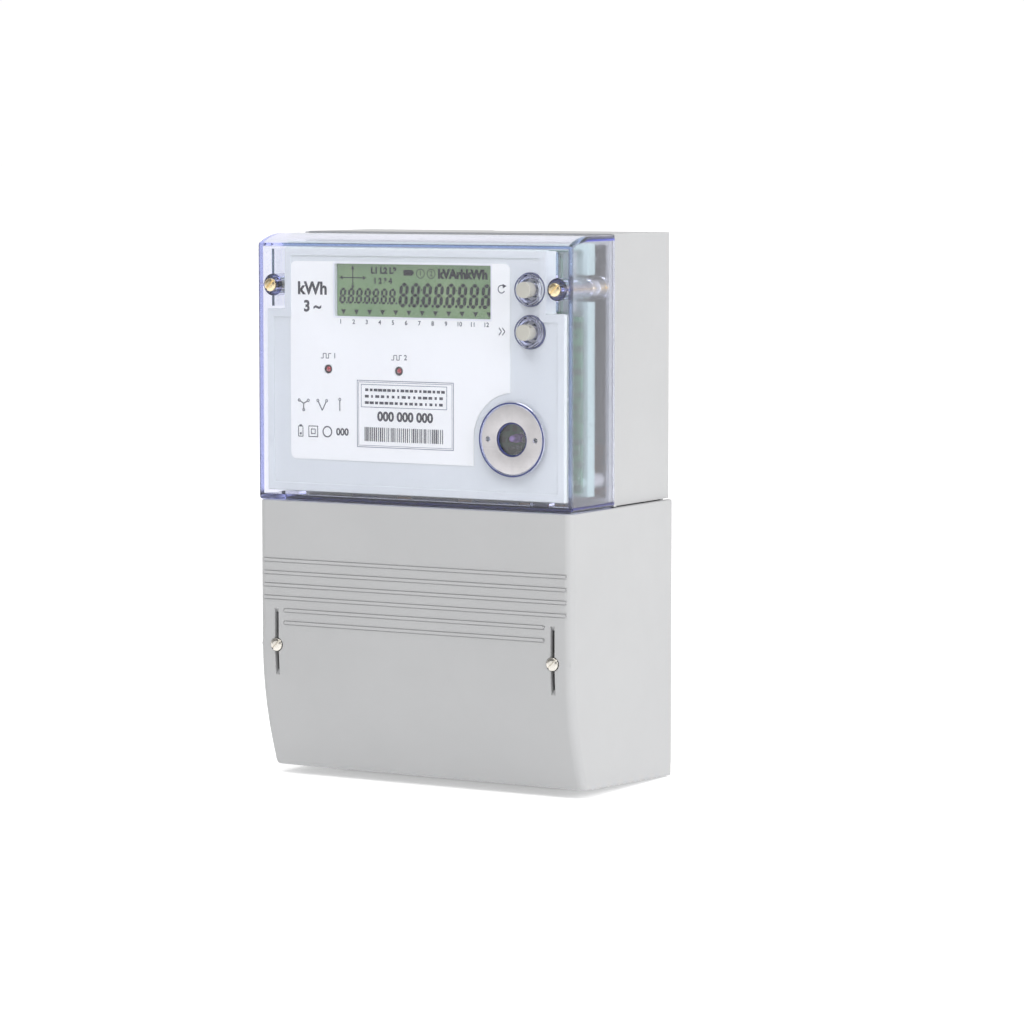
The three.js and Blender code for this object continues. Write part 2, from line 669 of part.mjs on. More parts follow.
function terminalBlock() {
  const chambers = terminalPlaces().flatMap((x) => [
    box([x - 6.5, x + 6.5], [CAGE.y[0] - 0.5, CAGE.y[1] + 0.5], [BLOCK.z[0] - 1, CAGE.z[1] + 0.5]),
    box([x - 5, x + 5], [LEG_Y[0] - 0.8, LEG_Y[1] + 0.8], [CAGE.z[1], BLOCK.z[1] + 1]),
    ...SCREW_LEVELS.map((z) => rodY(x, z, 4, [BLOCK.y[0] - 1, CAGE.y[0]], 8)),
  ]);
  return cut(box([-BLOCK.half, BLOCK.half], [BLOCK.y[0], -BACK - GAP], BLOCK.z), ...chambers);
}

// A brass box clamp: the cable comes in from below, and the two screws press it against the back.
function terminalCage(x) {
  const half = TERMINAL_BORE / 2;
  return cut(
    box([x - CAGE.half, x + CAGE.half], CAGE.y, CAGE.z),
    box([x - half, x + half], [CAGE.boreY - half, CAGE.boreY + half], [CAGE.z[0] - 1, CAGE.z[1] - 5]),
    ...SCREW_LEVELS.map((z) => rodY(x, z, 2.6, [CAGE.y[0] - 1, CAGE.boreY - half + 0.5], 8)),
  );
}

function busbar(phase) {
  const places = terminalPlaces();
  const [a, b] = [places[2 * phase], places[2 * phase + 1]];
  const leg = (x) => box([x - 4, x + 4], LEG_Y, [CAGE.z[1] + GAP, BUSBAR_TOP]);
  return joined(leg(a), leg(b), box([a - 4, b + 4], LEG_Y, [BUSBAR_TOP - 5, BUSBAR_TOP]));
}

function currentTransformer(phase) {
  const x = terminalPlaces()[2 * phase];
  const y = (LEG_Y[0] + LEG_Y[1]) / 2;
  const { z, radius, holeR } = CURRENT_TRANSFORMER;
  return cut(rodZ(x, y, radius, z, 20), rodZ(x, y, holeR, grown(z, 5)));
}

function auxiliaryTerminals() {
  const { half, frontY, z, ways, pitch } = AUXILIARY;
  const first = (-(ways - 1) * pitch) / 2;
  const body = box([-half, half], [frontY, BLOCK.y[0] - GAP], z);
  const pockets = Array.from({ length: ways }, (_, i) => first + i * pitch).flatMap((x) => [
    box([x - 2.3, x + 2.3], [frontY + 3, frontY + 8], [z[0] - 1, z[0] + 8]),
    rodY(x, z[0] + 4.5, 2, [frontY - 1, frontY + 4], 8),
  ]);
  return cut(body, ...pockets);
}

// ---------------------------------------------------------------- terminal cover

// The cover's outline from the side. The front stands upright, then leans back on a long arc.
function terminalOutline(inset, backY, top) {
  const front = -TERMINAL_COVER_DEPTH + inset;
  const lean = THREE.MathUtils.radToDeg(Math.asin((FRONT_CURVE_Z - 9) / FRONT_CURVE_R));
  const leaning = arc(front + FRONT_CURVE_R, FRONT_CURVE_Z, FRONT_CURVE_R, 180, 180 + lean, CURVE_STEPS);
  const [cornerY] = leaning[leaning.length - 1];
  const slope = BOTTOM_FRONT_Z / -cornerY;
  const floorAt = (y) => inset - slope * y;
  return [
    [backY, floorAt(backY)],
    [backY, top],
    [front, top],
    ...leaning,
    [cornerY + 1.2, floorAt(cornerY) + 1.2],
    [cornerY + 4, floorAt(cornerY + 4)],
  ];
}

function terminalCover() {
  const innerHalf = COVER_HALF - WALL;
  const outer = prismX(terminalOutline(0, -0.2, TERMINAL_COVER_TOP), [-COVER_HALF, COVER_HALF]).intersect(
    prismZ(planOutline(COVER_HALF, -TERMINAL_COVER_DEPTH, 5, 4), [-5, 150]),
  );
  const hollow = prismX(terminalOutline(WALL, 5, TERMINAL_COVER_TOP - WALL), [-innerHalf, innerHalf]);
  const inner = hollow.intersect(
    prismZ(planOutline(innerHalf, -TERMINAL_COVER_DEPTH + WALL, 10, 2), [-5, 150]),
  );
  const roomForBlock = box([-innerHalf, innerHalf], BLOCK_ROOM.y, BLOCK_ROOM.z);
  const cableMouth = box([-CABLE_MOUTH.half, CABLE_MOUTH.half], CABLE_MOUTH.y, CABLE_MOUTH.z);
  const shell = cut(outer, inner, roomForBlock, cableMouth);

  const { x: sx, z: sz } = TERMINAL_COVER_SCREW;
  const ribs = RIBS.half.map((half, i) => {
    const z = RIBS.firstZ - i * RIBS.pitch;
    const y = -TERMINAL_COVER_DEPTH;
    return box([-half, half], [y - RIBS.height, y + 1], grown([z, z], RIBS.width / 2));
  });
  const pillars = bothSides((s) =>
    rodY(s * sx, sz, TOWER.radius, [-TERMINAL_COVER_DEPTH + 0.5, TOWER.frontY - GAP]),
  );
  const sides = bothSides((s) =>
    box(onSide(s, sx, innerHalf + 1), [-TERMINAL_COVER_DEPTH + 1, -60], grown([sz, sz], 0.8)),
  );
  const half = (SLOT.z[1] - SLOT.z[0]) / 2;
  const discR = (half ** 2 + SLOT.depth ** 2) / (2 * SLOT.depth);
  const slot = (s) =>
    solid(
      new THREE.CylinderGeometry(discR, discR, SLOT.width, 40)
        .rotateZ(Math.PI / 2)
        .translate(s * sx, -TERMINAL_COVER_DEPTH + SLOT.depth - discR, (SLOT.z[0] + SLOT.z[1]) / 2),
    );
  const headSeatY = [-TERMINAL_COVER_DEPTH - 1, HEAD_SEAT_Y];
  const headSeat = (s) => rodY(s * sx, sz, SCREW_HEAD_R + 0.35, headSeatY, FINE);
  const retainer = retainerY(TERMINAL_COVER_SCREW);
  const bores = bothSides((s) => [
    rodY(s * sx, sz, SCREW_CLEAR_R, [-TERMINAL_COVER_DEPTH - 1, -40]),
    rodY(s * sx, sz, RETAINER_R + 0.4, [retainer[0] - RETAINER_TRAVEL - 0.6, -40]),
  ]).flat();
  const whole = joined(shell, ...ribs, ...pillars, ...sides);
  return cut(whole, ...bothSides(slot), ...bothSides(headSeat), ...bores);
}

// ---------------------------------------------------------------- the assembly

const SIDE = { "-1": "left", 1: "right" };
const PHASES = ["phase_1", "phase_2", "phase_3", "neutral"];

function assembly() {
  const meter = new THREE.Group();
  const add = (name, made, material) => meter.add(mesh(name, made, material));

  add("rear_case", rearCase(), FINISH.case);
  add("hanging_bracket", hangingBracket(), FINISH.zinc);
  add("cover_gasket", coverGasket(), FINISH.rubber);

  add("meter_cover", meterCover(), FINISH.clear);
  add("optical_port_plate", portPlate(), FINISH.steel);
  for (const [name, z] of Object.entries(BUTTON_Z)) {
    add(`${name}_button`, buttonPlunger(z), FINISH.button);
    add(`${name}_button_spring`, buttonSpring(z), FINISH.steel);
    add(`${name}_button_seal`, buttonSeal(z), FINISH.rubber);
    add(`${name}_switch`, pushSwitch(z), FINISH.dark);
  }

  add("terminal_cover", terminalCover(), FINISH.case);
  for (const s of [-1, 1]) {
    add(`cover_screw_${SIDE[s]}`, sealingScrew(COVER_SCREW, s), FINISH.brass);
    add(`cover_screw_retainer_${SIDE[s]}`, screwRetainer(COVER_SCREW, s), FINISH.frame);
    const coverInsert = threadedInsert(s * COVER_SCREW.x, COVER_SCREW.z, SEAM_Y - TONGUE);
    add(`cover_insert_${SIDE[s]}`, coverInsert, FINISH.brass);
    add(`terminal_cover_screw_${SIDE[s]}`, sealingScrew(TERMINAL_COVER_SCREW, s), FINISH.brass);
    add(`terminal_cover_retainer_${SIDE[s]}`, screwRetainer(TERMINAL_COVER_SCREW, s), FINISH.frame);
    const towerInsert = threadedInsert(s * TERMINAL_COVER_SCREW.x, TERMINAL_COVER_SCREW.z, TOWER.frontY);
    add(`terminal_cover_insert_${SIDE[s]}`, towerInsert, FINISH.brass);
  }

  add("faceplate", faceplate(), FINISH.face);
  add("label_sheet", labelSheet(), FINISH.label);
  add("lcd_glass", lcdGlass(), FINISH.lcd);
  add("lcd_backlight", lcdBacklight(), FINISH.frame);
  add("lcd_frame", lcdFrame(), FINISH.frame);
  add("lcd_contact_strip", lcdContactStrip(), FINISH.rubber);
  for (const led of PULSE_LEDS) add(led.name, pulseLed(led), FINISH.red);
  add("infrared_emitter", infraredPart(-3.4), FINISH.dark);
  add("infrared_receiver", infraredPart(3.4), FINISH.dark);

  add("display_board", displayBoard(), FINISH.board);
  add("board_carrier", boardCarrier(), FINISH.carrier);
  add("metering_board", meteringBoard(), FINISH.board);
  add("board_link_header", boardLink(), FINISH.dark);
  add("supply_transformer", supplyTransformer(), FINISH.dark);
  add("filter_capacitor", filterCapacitor(), FINISH.core);
  add("backup_battery", backupBattery(), FINISH.battery);

  add("terminal_block", terminalBlock(), FINISH.block);
  add("auxiliary_terminals", auxiliaryTerminals(), FINISH.carrier);
  terminalPlaces().forEach((x, i) => add(`terminal_cage_${i + 1}`, terminalCage(x), FINISH.brass));
  PHASES.forEach((name, i) => add(`${name}_busbar`, busbar(i), FINISH.copper));
  [0, 1, 2].forEach((i) => add(`current_transformer_${i + 1}`, currentTransformer(i), FINISH.core));

  meter.position.z = -ORIGIN_Z;
  return meter;
}

export default assembly();
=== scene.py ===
# %% [markdown]
# # A wall electricity meter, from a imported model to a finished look
#
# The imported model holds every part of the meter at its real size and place, but as plain faceted solids.
# This script keeps those places and builds the surfaces that the eye wants: a clear moulded cover, a spark-eroded
# grey housing, a printed faceplate with a liquid-crystal display, turned screws and the boards inside.
# The frame is in metres. X runs to the right, Y into the wall and Z up.

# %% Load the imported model
import json
import math

import bmesh
import bpy
from mathutils import Matrix, Vector


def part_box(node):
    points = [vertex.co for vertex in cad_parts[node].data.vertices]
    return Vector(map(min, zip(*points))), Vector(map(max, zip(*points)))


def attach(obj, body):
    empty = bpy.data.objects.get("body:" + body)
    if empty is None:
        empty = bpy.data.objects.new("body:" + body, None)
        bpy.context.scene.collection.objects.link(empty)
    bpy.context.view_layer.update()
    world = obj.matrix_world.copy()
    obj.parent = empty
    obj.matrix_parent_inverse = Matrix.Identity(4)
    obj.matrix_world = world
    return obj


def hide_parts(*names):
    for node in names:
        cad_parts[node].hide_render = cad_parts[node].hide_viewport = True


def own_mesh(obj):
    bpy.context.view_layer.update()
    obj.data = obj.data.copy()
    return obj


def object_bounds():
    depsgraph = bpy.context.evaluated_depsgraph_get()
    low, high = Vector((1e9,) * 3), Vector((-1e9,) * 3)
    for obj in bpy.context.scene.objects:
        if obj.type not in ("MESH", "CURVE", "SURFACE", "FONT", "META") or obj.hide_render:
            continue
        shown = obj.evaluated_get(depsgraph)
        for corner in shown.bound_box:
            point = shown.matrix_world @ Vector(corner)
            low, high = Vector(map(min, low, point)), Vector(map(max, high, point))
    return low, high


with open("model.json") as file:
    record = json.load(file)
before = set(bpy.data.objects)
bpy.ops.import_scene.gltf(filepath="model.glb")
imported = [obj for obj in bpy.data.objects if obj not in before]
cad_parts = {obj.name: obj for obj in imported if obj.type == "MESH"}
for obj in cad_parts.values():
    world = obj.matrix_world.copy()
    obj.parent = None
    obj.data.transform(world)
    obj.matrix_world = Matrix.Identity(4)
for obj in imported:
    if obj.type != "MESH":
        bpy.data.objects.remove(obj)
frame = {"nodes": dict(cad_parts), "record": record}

MM = 0.001
cad_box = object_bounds()
record = frame["record"]
body_of = {node: body for body, nodes in record["behaviour"]["bodies"].items() for node in nodes}
slot_of = {part["node"]: part["material_slot"] for part in record["subparts"]}

# %% [markdown]
# ## Camera, floor and light
#
# The meter is seen a little from the right and from just above, through a long lens, so its edges run almost
# parallel. A large white floor and a bright sky stand for a product table. The sky is dark only behind the
# camera, so the clear cover has nothing bright to mirror towards the eye. One large softbox on the right makes
# the side a shade lighter than the front, and a second one, high in front, lifts the front and the roof.

# %% Camera
VIEW_FROM = Vector((0.9622, -1.6654, 0.1618))
VIEW_AT = Vector((0.0205, -0.0400, -0.0033))
LENS = 139.3

camera = bpy.data.objects.new("camera", bpy.data.cameras.new("camera"))
camera.data.lens = LENS
camera.data.sensor_width = 36
camera.location = VIEW_FROM
camera.rotation_euler = (VIEW_AT - VIEW_FROM).to_track_quat("-Z", "Y").to_euler()
bpy.context.collection.objects.link(camera)
bpy.context.scene.camera = camera
print(f"camera {(VIEW_AT - VIEW_FROM).length:.2f} m away")

# %% A small helper that adds a node and wires it
def put(tree, kind, sockets=None, **settings):
    """Adds a node, sets its options, and sets or links its inputs by name or number."""
    node = tree.nodes.new(kind)
    for name, value in settings.items():
        setattr(node, name, value)
    for name, value in (sockets or {}).items():
        if isinstance(value, bpy.types.NodeSocket):
            tree.links.new(value, node.inputs[name])
        else:
            node.inputs[name].default_value = value
    return node


def principled(name, **values):
    """A new material, its node tree and its shader, with plain values set on the shader's own sockets."""
    material = bpy.data.materials.new(name)
    material.use_nodes = True
    shader = material.node_tree.nodes["Principled BSDF"]
    for socket, value in values.items():
        shader.inputs[socket.replace("_", " ")].default_value = value
    return material, material.node_tree, shader


def paint(red, green, blue):
    """A colour given in the everyday 0 to 255 scale, as the linear values that shaders add up."""
    linear = [((c / 255 + 0.055) / 1.055) ** 2.4 if c > 10 else c / 255 / 12.92 for c in (red, green, blue)]
    return (*linear, 1.0)


# %% Floor and light
FLOOR_SIZE = 300
FLOOR_DROP = 0.5 * MM

floor_mesh = bpy.data.meshes.new("floor")
floor_level = cad_box[0].z - FLOOR_DROP
floor_mesh.from_pydata(
    [(x, y, floor_level) for x, y in ((-1, -1), (1, -1), (1, 1), (-1, 1))], [], [(0, 1, 2, 3)]
)
floor_mesh.transform(Matrix.Diagonal((FLOOR_SIZE, FLOOR_SIZE, 1, 1)))
floor = bpy.data.objects.new("floor", floor_mesh)
bpy.context.collection.objects.link(floor)
floor_finish, floor_tree, floor_shader = principled("floor_paper", Roughness=0.9)
floor_tone = put(floor_tree, "ShaderNodeTexNoise", {"Scale": 3.0})
floor_mix = put(
    floor_tree, "ShaderNodeMix", {0: floor_tone.outputs[0], 6: paint(254, 254, 254), 7: paint(255, 255, 255)},
    data_type="RGBA",
)
floor_tree.links.new(floor_mix.outputs[2], floor_shader.inputs["Base Color"])
floor_shader.inputs["Emission Color"].default_value = paint(255, 255, 255)
floor_shader.inputs["Emission Strength"].default_value = 0.3
floor_mesh.materials.append(floor_finish)

SKY = 1.0
BEHIND_CAMERA = 0.22
DARK_SIDE = (-0.35, -0.94, 0.0)

world = bpy.data.worlds.new("studio")
world.use_nodes = True
world_tree = world.node_tree
background = world_tree.nodes["Background"]
background.inputs["Color"].default_value = paint(255, 254, 254)
way = put(world_tree, "ShaderNodeTexCoord").outputs["Generated"]
facing = put(world_tree, "ShaderNodeVectorMath", {0: way, 1: DARK_SIDE}, operation="DOT_PRODUCT").outputs["Value"]
falloff = {"Value": facing, "From Min": 0.2, "From Max": 0.85, "To Min": SKY, "To Max": BEHIND_CAMERA}
room = put(world_tree, "ShaderNodeMapRange", falloff, interpolation_type="SMOOTHSTEP")
rays = put(world_tree, "ShaderNodeLightPath")
strength = put(
    world_tree, "ShaderNodeMix", {0: rays.outputs["Is Camera Ray"], 2: room.outputs[0], 3: 1.02}, data_type="FLOAT"
)
world_tree.links.new(strength.outputs[0], background.inputs["Strength"])
bpy.context.scene.world = world
bpy.context.scene.view_settings.view_transform = "Standard"


def softbox(name, place, size, power):
    """A square area light that faces the meter."""
    light = bpy.data.objects.new(name, bpy.data.lights.new(name, "AREA"))
    light.data.size = size
    light.data.energy = power
    light.location = place
    light.rotation_euler = (-Vector(place)).to_track_quat("-Z", "Y").to_euler()
    bpy.context.collection.objects.link(light)
    return light


softbox("softbox_right", (1.6, -0.5, 0.7), 1.0, 10)
softbox("softbox_front", (0.1, -1.5, 1.9), 1.2, 18)

# %% [markdown]
# ## Surface effects that several finishes share
#
# Moulded plastic is never one flat colour. The mould is spark-eroded, which leaves a fine even grain, and the
# pigment and the gloss drift a little over the part. One node group makes all three from noise of different
# scales, and each finish mixes them with its own colours.

# %% The skin of a moulding
def effect(name, inputs, outputs):
    """An empty shader node group with named number inputs and named outputs."""
    tree = bpy.data.node_groups.new(name, "ShaderNodeTree")
    for label, value in inputs.items():
        tree.interface.new_socket(label, in_out="INPUT", socket_type="NodeSocketFloat").default_value = value
    for label in outputs:
        tree.interface.new_socket(label, in_out="OUTPUT", socket_type="NodeSocketFloat")
    return tree, tree.nodes.new("NodeGroupInput"), tree.nodes.new("NodeGroupOutput")


def noise(tree, scale, vector, detail=2.0, roughness=0.5):
    """Plain noise on a vector; scale may be a number or a socket."""
    sockets = {"Scale": scale, "Vector": vector, "Detail": detail, "Roughness": roughness}
    return put(tree, "ShaderNodeTexNoise", sockets).outputs[0]


def stretch(tree, value, low, high, to_low=0.0, to_high=1.0):
    """Spreads the stretch from low to high over a new range, and clamps the rest."""
    sockets = {"Value": value, "From Min": low, "From Max": high, "To Min": to_low, "To Max": to_high}
    return put(tree, "ShaderNodeMapRange", sockets).outputs[0]


def reckon(tree, operation, first, second=0.0):
    return put(tree, "ShaderNodeMath", {0: first, 1: second}, operation=operation).outputs[0]


skin, skin_in, skin_out = effect("moulded_skin", {"Grain": 1500.0, "Drift": 14.0}, ["Height", "Tone", "Gloss"])
place = put(skin, "ShaderNodeTexCoord").outputs["Object"]
fine = noise(skin, skin_in.outputs["Grain"], place, 3.0, 0.6)
coarse = noise(skin, reckon(skin, "MULTIPLY", skin_in.outputs["Grain"], 0.3), place)
drift = noise(skin, skin_in.outputs["Drift"], place, 4.0, 0.6)
patches = noise(skin, reckon(skin, "MULTIPLY", skin_in.outputs["Drift"], 6.0), place, 3.0)
height = reckon(skin, "ADD", reckon(skin, "MULTIPLY", fine, 0.65), reckon(skin, "MULTIPLY", coarse, 0.35))
gloss = reckon(skin, "ADD", reckon(skin, "MULTIPLY", patches, 0.5), reckon(skin, "MULTIPLY", fine, 0.5))
skin.links.new(height, skin_out.inputs["Height"])
skin.links.new(stretch(skin, drift, 0.35, 0.65), skin_out.inputs["Tone"])
skin.links.new(stretch(skin, gloss, 0.3, 0.7), skin_out.inputs["Gloss"])

# %% [markdown]
# Handled parts also carry a few hairline scratches. They are made from noise that is squeezed across the scratch
# and drawn out along it, and only its thin crests are kept.

# %% Hairline scratches
SCRATCH_CREST = (0.655, 0.68)

scratches, scratches_in, scratches_out = effect("hairlines", {"Fineness": 500.0}, ["Mask"])
place = put(scratches, "ShaderNodeTexCoord").outputs["Object"]
crests = []
for tilt, squeeze in ((0.4, (1.0, 1.0, 0.03)), (-0.9, (0.04, 1.0, 1.0))):
    turned_place = put(
        scratches, "ShaderNodeMapping", {"Vector": place, "Rotation": (0, tilt, 0), "Scale": squeeze}
    ).outputs[0]
    crest = noise(scratches, scratches_in.outputs["Fineness"], turned_place)
    crests.append(stretch(scratches, crest, *SCRATCH_CREST))
scratches.links.new(reckon(scratches, "MAXIMUM", *crests), scratches_out.inputs["Mask"])
print("shared effects:", [tree.name for tree in bpy.data.node_groups])

# %% [markdown]
# ## Finishes
#
# Each finish is one function call with the colour, the gloss and how strongly the shared effects show. The
# colour is a mix of a slightly darker and a slightly lighter shade, led by the drift of the skin.

# %% Moulded plastics and rubber
def shade(colour, factor):
    return (*(min(1.0, c * factor) for c in colour[:3]), 1.0)


def moulded(name, colour, roughness, drift=0.04, grain=1500.0, depth=0.02 * MM, gloss_spread=0.08, **values):
    """An opaque moulded or painted surface with a fine grain."""
    material, tree, shader = principled(name, **values)
    surface = put(tree, "ShaderNodeGroup", node_tree=skin)
    surface.inputs["Grain"].default_value = grain
    colours = {0: surface.outputs["Tone"], 6: shade(colour, 1 - drift), 7: shade(colour, 1 + drift)}
    mixed = put(tree, "ShaderNodeMix", colours, data_type="RGBA")
    tree.links.new(mixed.outputs[2], shader.inputs["Base Color"])
    rough = stretch(tree, surface.outputs["Gloss"], 0, 1, roughness - gloss_spread, roughness + gloss_spread)
    tree.links.new(rough, shader.inputs["Roughness"])
    bump = put(tree, "ShaderNodeBump", {"Height": surface.outputs["Height"], "Distance": depth})
    tree.links.new(bump.outputs[0], shader.inputs["Normal"])
    return material


case_plastic = moulded("case_plastic", paint(176, 177, 178), 0.5, 0.02, 1300.0, 0.05 * MM)
face_plastic = moulded("face_plastic", paint(223, 227, 221), 0.4, 0.015, 2200.0, 0.01 * MM)
label_film = moulded("label_film", paint(252, 252, 241), 0.33, 0.01, 3000.0, 0.005 * MM)
white_plastic = moulded("white_plastic", paint(240, 240, 236), 0.45)
carrier_plastic = moulded("carrier_plastic", paint(184, 206, 200), 0.4, 0.03)
button_plastic = moulded("button_plastic", paint(176, 175, 168), 0.45, 0.03, 1800.0, 0.03 * MM)
dark_plastic = moulded("dark_plastic", paint(38, 40, 44), 0.5, 0.1)
block_plastic = moulded("block_plastic", paint(82, 84, 88), 0.55, 0.08, 1200.0, 0.05 * MM)
black_rubber = moulded("black_rubber", paint(34, 36, 42), 0.75, 0.12, 900.0)
print_ink = moulded("print_ink", paint(8, 9, 16), 0.5, 0.15, 4000.0, 0.004 * MM)
grey_ink = moulded("grey_ink", paint(84, 88, 106), 0.5, 0.08, 4000.0, 0.004 * MM)
core_epoxy = moulded("core_epoxy", paint(38, 82, 160), 0.3, 0.12, 500.0, 0.08 * MM, Coat_Weight=0.3)
battery_sleeve = moulded("battery_sleeve", paint(226, 222, 206), 0.3, 0.03, 700.0, Coat_Weight=0.3)
red_lens = moulded("red_lens", paint(170, 24, 34), 0.15, 0.2, 800.0, 0.01 * MM, 0.05, Coat_Weight=1.0)
# Painted shade: a dark violet navy for thin rings at the optical port, in place of the dark gap and the refracted
# walls that show there.
violet_line = moulded("violet_line", paint(54, 62, 112), 0.3, 0.15, 800.0, 0.01 * MM)
violet_lens = moulded("violet_lens", paint(150, 110, 190), 0.12, 0.2, 800.0, 0.01 * MM, 0.05, Coat_Weight=1.0)

# %% [markdown]
# Metals need no pigment drift, but their gloss varies with how they were made. Brass screws are turned, so their
# gloss varies in fine clouds; nickel and zinc plate are slightly cloudy; all of them take hairline scratches.

# %% Metals
def metal(name, colour, roughness, cloud=60.0, spread=0.1, scratch=0.15, grain=2500.0, depth=0.01 * MM):
    """A plated or bare metal surface with clouds and scratches in its gloss."""
    material, tree, shader = principled(name, Metallic=1.0)
    surface = put(tree, "ShaderNodeGroup", {"Grain": grain, "Drift": cloud}, node_tree=skin)
    marks = put(tree, "ShaderNodeGroup", node_tree=scratches)
    colours = {0: surface.outputs["Tone"], 6: shade(colour, 0.9), 7: shade(colour, 1.06)}
    mixed = put(tree, "ShaderNodeMix", colours, data_type="RGBA")
    tree.links.new(mixed.outputs[2], shader.inputs["Base Color"])
    cloudy = stretch(tree, surface.outputs["Gloss"], 0, 1, roughness - spread, roughness + spread)
    rough = reckon(tree, "ADD", cloudy, reckon(tree, "MULTIPLY", marks.outputs["Mask"], scratch))
    tree.links.new(rough, shader.inputs["Roughness"])
    bump = put(tree, "ShaderNodeBump", {"Height": surface.outputs["Height"], "Distance": depth})
    tree.links.new(bump.outputs[0], shader.inputs["Normal"])
    return material


brass = metal("brass", paint(232, 214, 176), 0.26, 200.0, 0.08)
copper = metal("copper", paint(214, 150, 112), 0.35, 40.0)
nickel_steel = metal("nickel_steel", paint(208, 206, 208), 0.5, 80.0, 0.08, 0.1, 4000.0, 0.02 * MM)
spring_steel = metal("spring_steel", paint(190, 190, 192), 0.25)
zinc_steel = metal("zinc_steel", paint(196, 202, 208), 0.38, 90.0, 0.14)
solder = metal("solder", paint(206, 208, 214), 0.3, 400.0)
pale_brass = metal("pale_brass", paint(220, 216, 208), 0.26, 200.0, 0.08)

# %% [markdown]
# The clear cover is polycarbonate. It bends light like glass, and its tint only shows where light runs a long way
# through it: along an edge, or down a screw pillar seen from the end. So the tint is a volume that swallows red
# and green, not a surface colour. Lamps have to reach the faceplate behind it, and a Mix Shader lets shadow rays
# pass, because real glass would send that light through and a renderer would miss it. The same mix frees a ray
# that has bounced inside an edge so often that a renderer would give up on it and paint the edge black. The two
# side walls are lightly frosted on the inside, so what lies behind them is blurred.

# %% Clear polycarbonate
CLEAR_IOR = 1.585
TINT_DENSITY = 25.0
TINT = (0.02, 0.12, 0.86, 1.0)
SIDE_WALL = (82.3 * MM, 82.8 * MM)
SIDE_FROST = 0.16
TRAPPED = 4.5

clear_polycarbonate, tree, shader = principled(
    "clear_polycarbonate", IOR=CLEAR_IOR, Transmission_Weight=1.0, Base_Color=(0.985, 0.988, 1.0, 1.0)
)
marks = put(tree, "ShaderNodeGroup", node_tree=scratches)
surface = put(tree, "ShaderNodeGroup", {"Drift": 40.0}, node_tree=skin)
clouded = stretch(tree, surface.outputs["Gloss"], 0.2, 1.0, 0.0, 0.02)
place = put(tree, "ShaderNodeSeparateXYZ", {0: put(tree, "ShaderNodeTexCoord").outputs["Object"]})
side = stretch(tree, reckon(tree, "ABSOLUTE", place.outputs[0]), *SIDE_WALL, 0.0, SIDE_FROST)
rough = reckon(tree, "ADD", clouded, reckon(tree, "MULTIPLY", marks.outputs["Mask"], 0.1))
tree.links.new(reckon(tree, "ADD", rough, side), shader.inputs["Roughness"])
open_way = put(tree, "ShaderNodeBsdfTransparent", {"Color": (0.968, 0.972, 0.982, 1.0)})
rays = put(tree, "ShaderNodeLightPath")
trapped = reckon(tree, "GREATER_THAN", rays.outputs["Ray Depth"], TRAPPED)
passes = reckon(tree, "MAXIMUM", rays.outputs["Is Shadow Ray"], trapped)
either = put(tree, "ShaderNodeMixShader", {0: passes, 1: shader.outputs[0], 2: open_way.outputs[0]})
output = tree.nodes["Material Output"]
tree.links.new(either.outputs[0], output.inputs["Surface"])
tint = put(tree, "ShaderNodeVolumeAbsorption", {"Color": TINT, "Density": TINT_DENSITY})
tree.links.new(tint.outputs[0], output.inputs["Volume"])

# %% [markdown]
# A circuit board is glass cloth under a green lacquer. The copper tracks below the lacquer show as slightly
# lighter green lines that run at right angles. Two brick patterns of different sizes give lines of that kind.

# %% Circuit board and display glass
circuit_board, tree, shader = principled("circuit_board", Coat_Weight=0.5)
place = put(tree, "ShaderNodeTexCoord").outputs["Object"]
turned_place = put(tree, "ShaderNodeMapping", {"Vector": place, "Rotation": (math.radians(90), 0, 0)}).outputs[0]
tracks = []
for scale, width, height in ((30.0, 0.9, 0.16), (55.0, 0.35, 0.5)):
    sockets = {"Vector": turned_place, "Scale": scale, "Mortar Size": 0.035, "Brick Width": width,
               "Row Height": height}
    bricks = put(tree, "ShaderNodeTexBrick", sockets, offset=0.37)
    tracks.append(bricks.outputs["Fac"])
track = reckon(tree, "MAXIMUM", *tracks)
surface = put(tree, "ShaderNodeGroup", {"Drift": 30.0}, node_tree=skin)
green = put(tree, "ShaderNodeMix", {0: track, 6: paint(22, 74, 52), 7: paint(52, 122, 86)}, data_type="RGBA")
uneven = put(
    tree, "ShaderNodeMix", {0: 0.35, 6: green.outputs[2], 7: surface.outputs["Tone"]}, data_type="RGBA",
    blend_type="MULTIPLY",
)
tree.links.new(uneven.outputs[2], shader.inputs["Base Color"])
tree.links.new(stretch(tree, surface.outputs["Gloss"], 0, 1, 0.25, 0.45), shader.inputs["Roughness"])
bump = put(tree, "ShaderNodeBump", {"Height": track, "Distance": 0.03 * MM})
tree.links.new(bump.outputs[0], shader.inputs["Normal"])

lcd, tree, shader = principled("lcd", Coat_Weight=1.0, Coat_Roughness=0.03)
place = put(tree, "ShaderNodeTexCoord").outputs["Object"]
clouds = noise(tree, 45.0, place, 3.0)
warm = stretch(tree, clouds, 0.3, 0.7)
cells = put(tree, "ShaderNodeMix", {0: warm, 6: paint(90, 132, 76), 7: paint(126, 154, 98)}, data_type="RGBA")
tree.links.new(cells.outputs[2], shader.inputs["Base Color"])
tree.links.new(stretch(tree, noise(tree, 900.0, place), 0.3, 0.7, 0.25, 0.4), shader.inputs["Roughness"])
lcd_ink = moulded("lcd_ink", paint(1, 4, 12), 0.5, 0.1, 3000.0, 0.003 * MM, Specular_IOR_Level=0.1)
# Painted shade: a navy for the rings round the button wells, in place of the dark edge that the clear well walls
# show by total internal reflection.
navy_rubber = moulded("navy_rubber", paint(40, 52, 98), 0.4, 0.1, 900.0, 0.02 * MM)

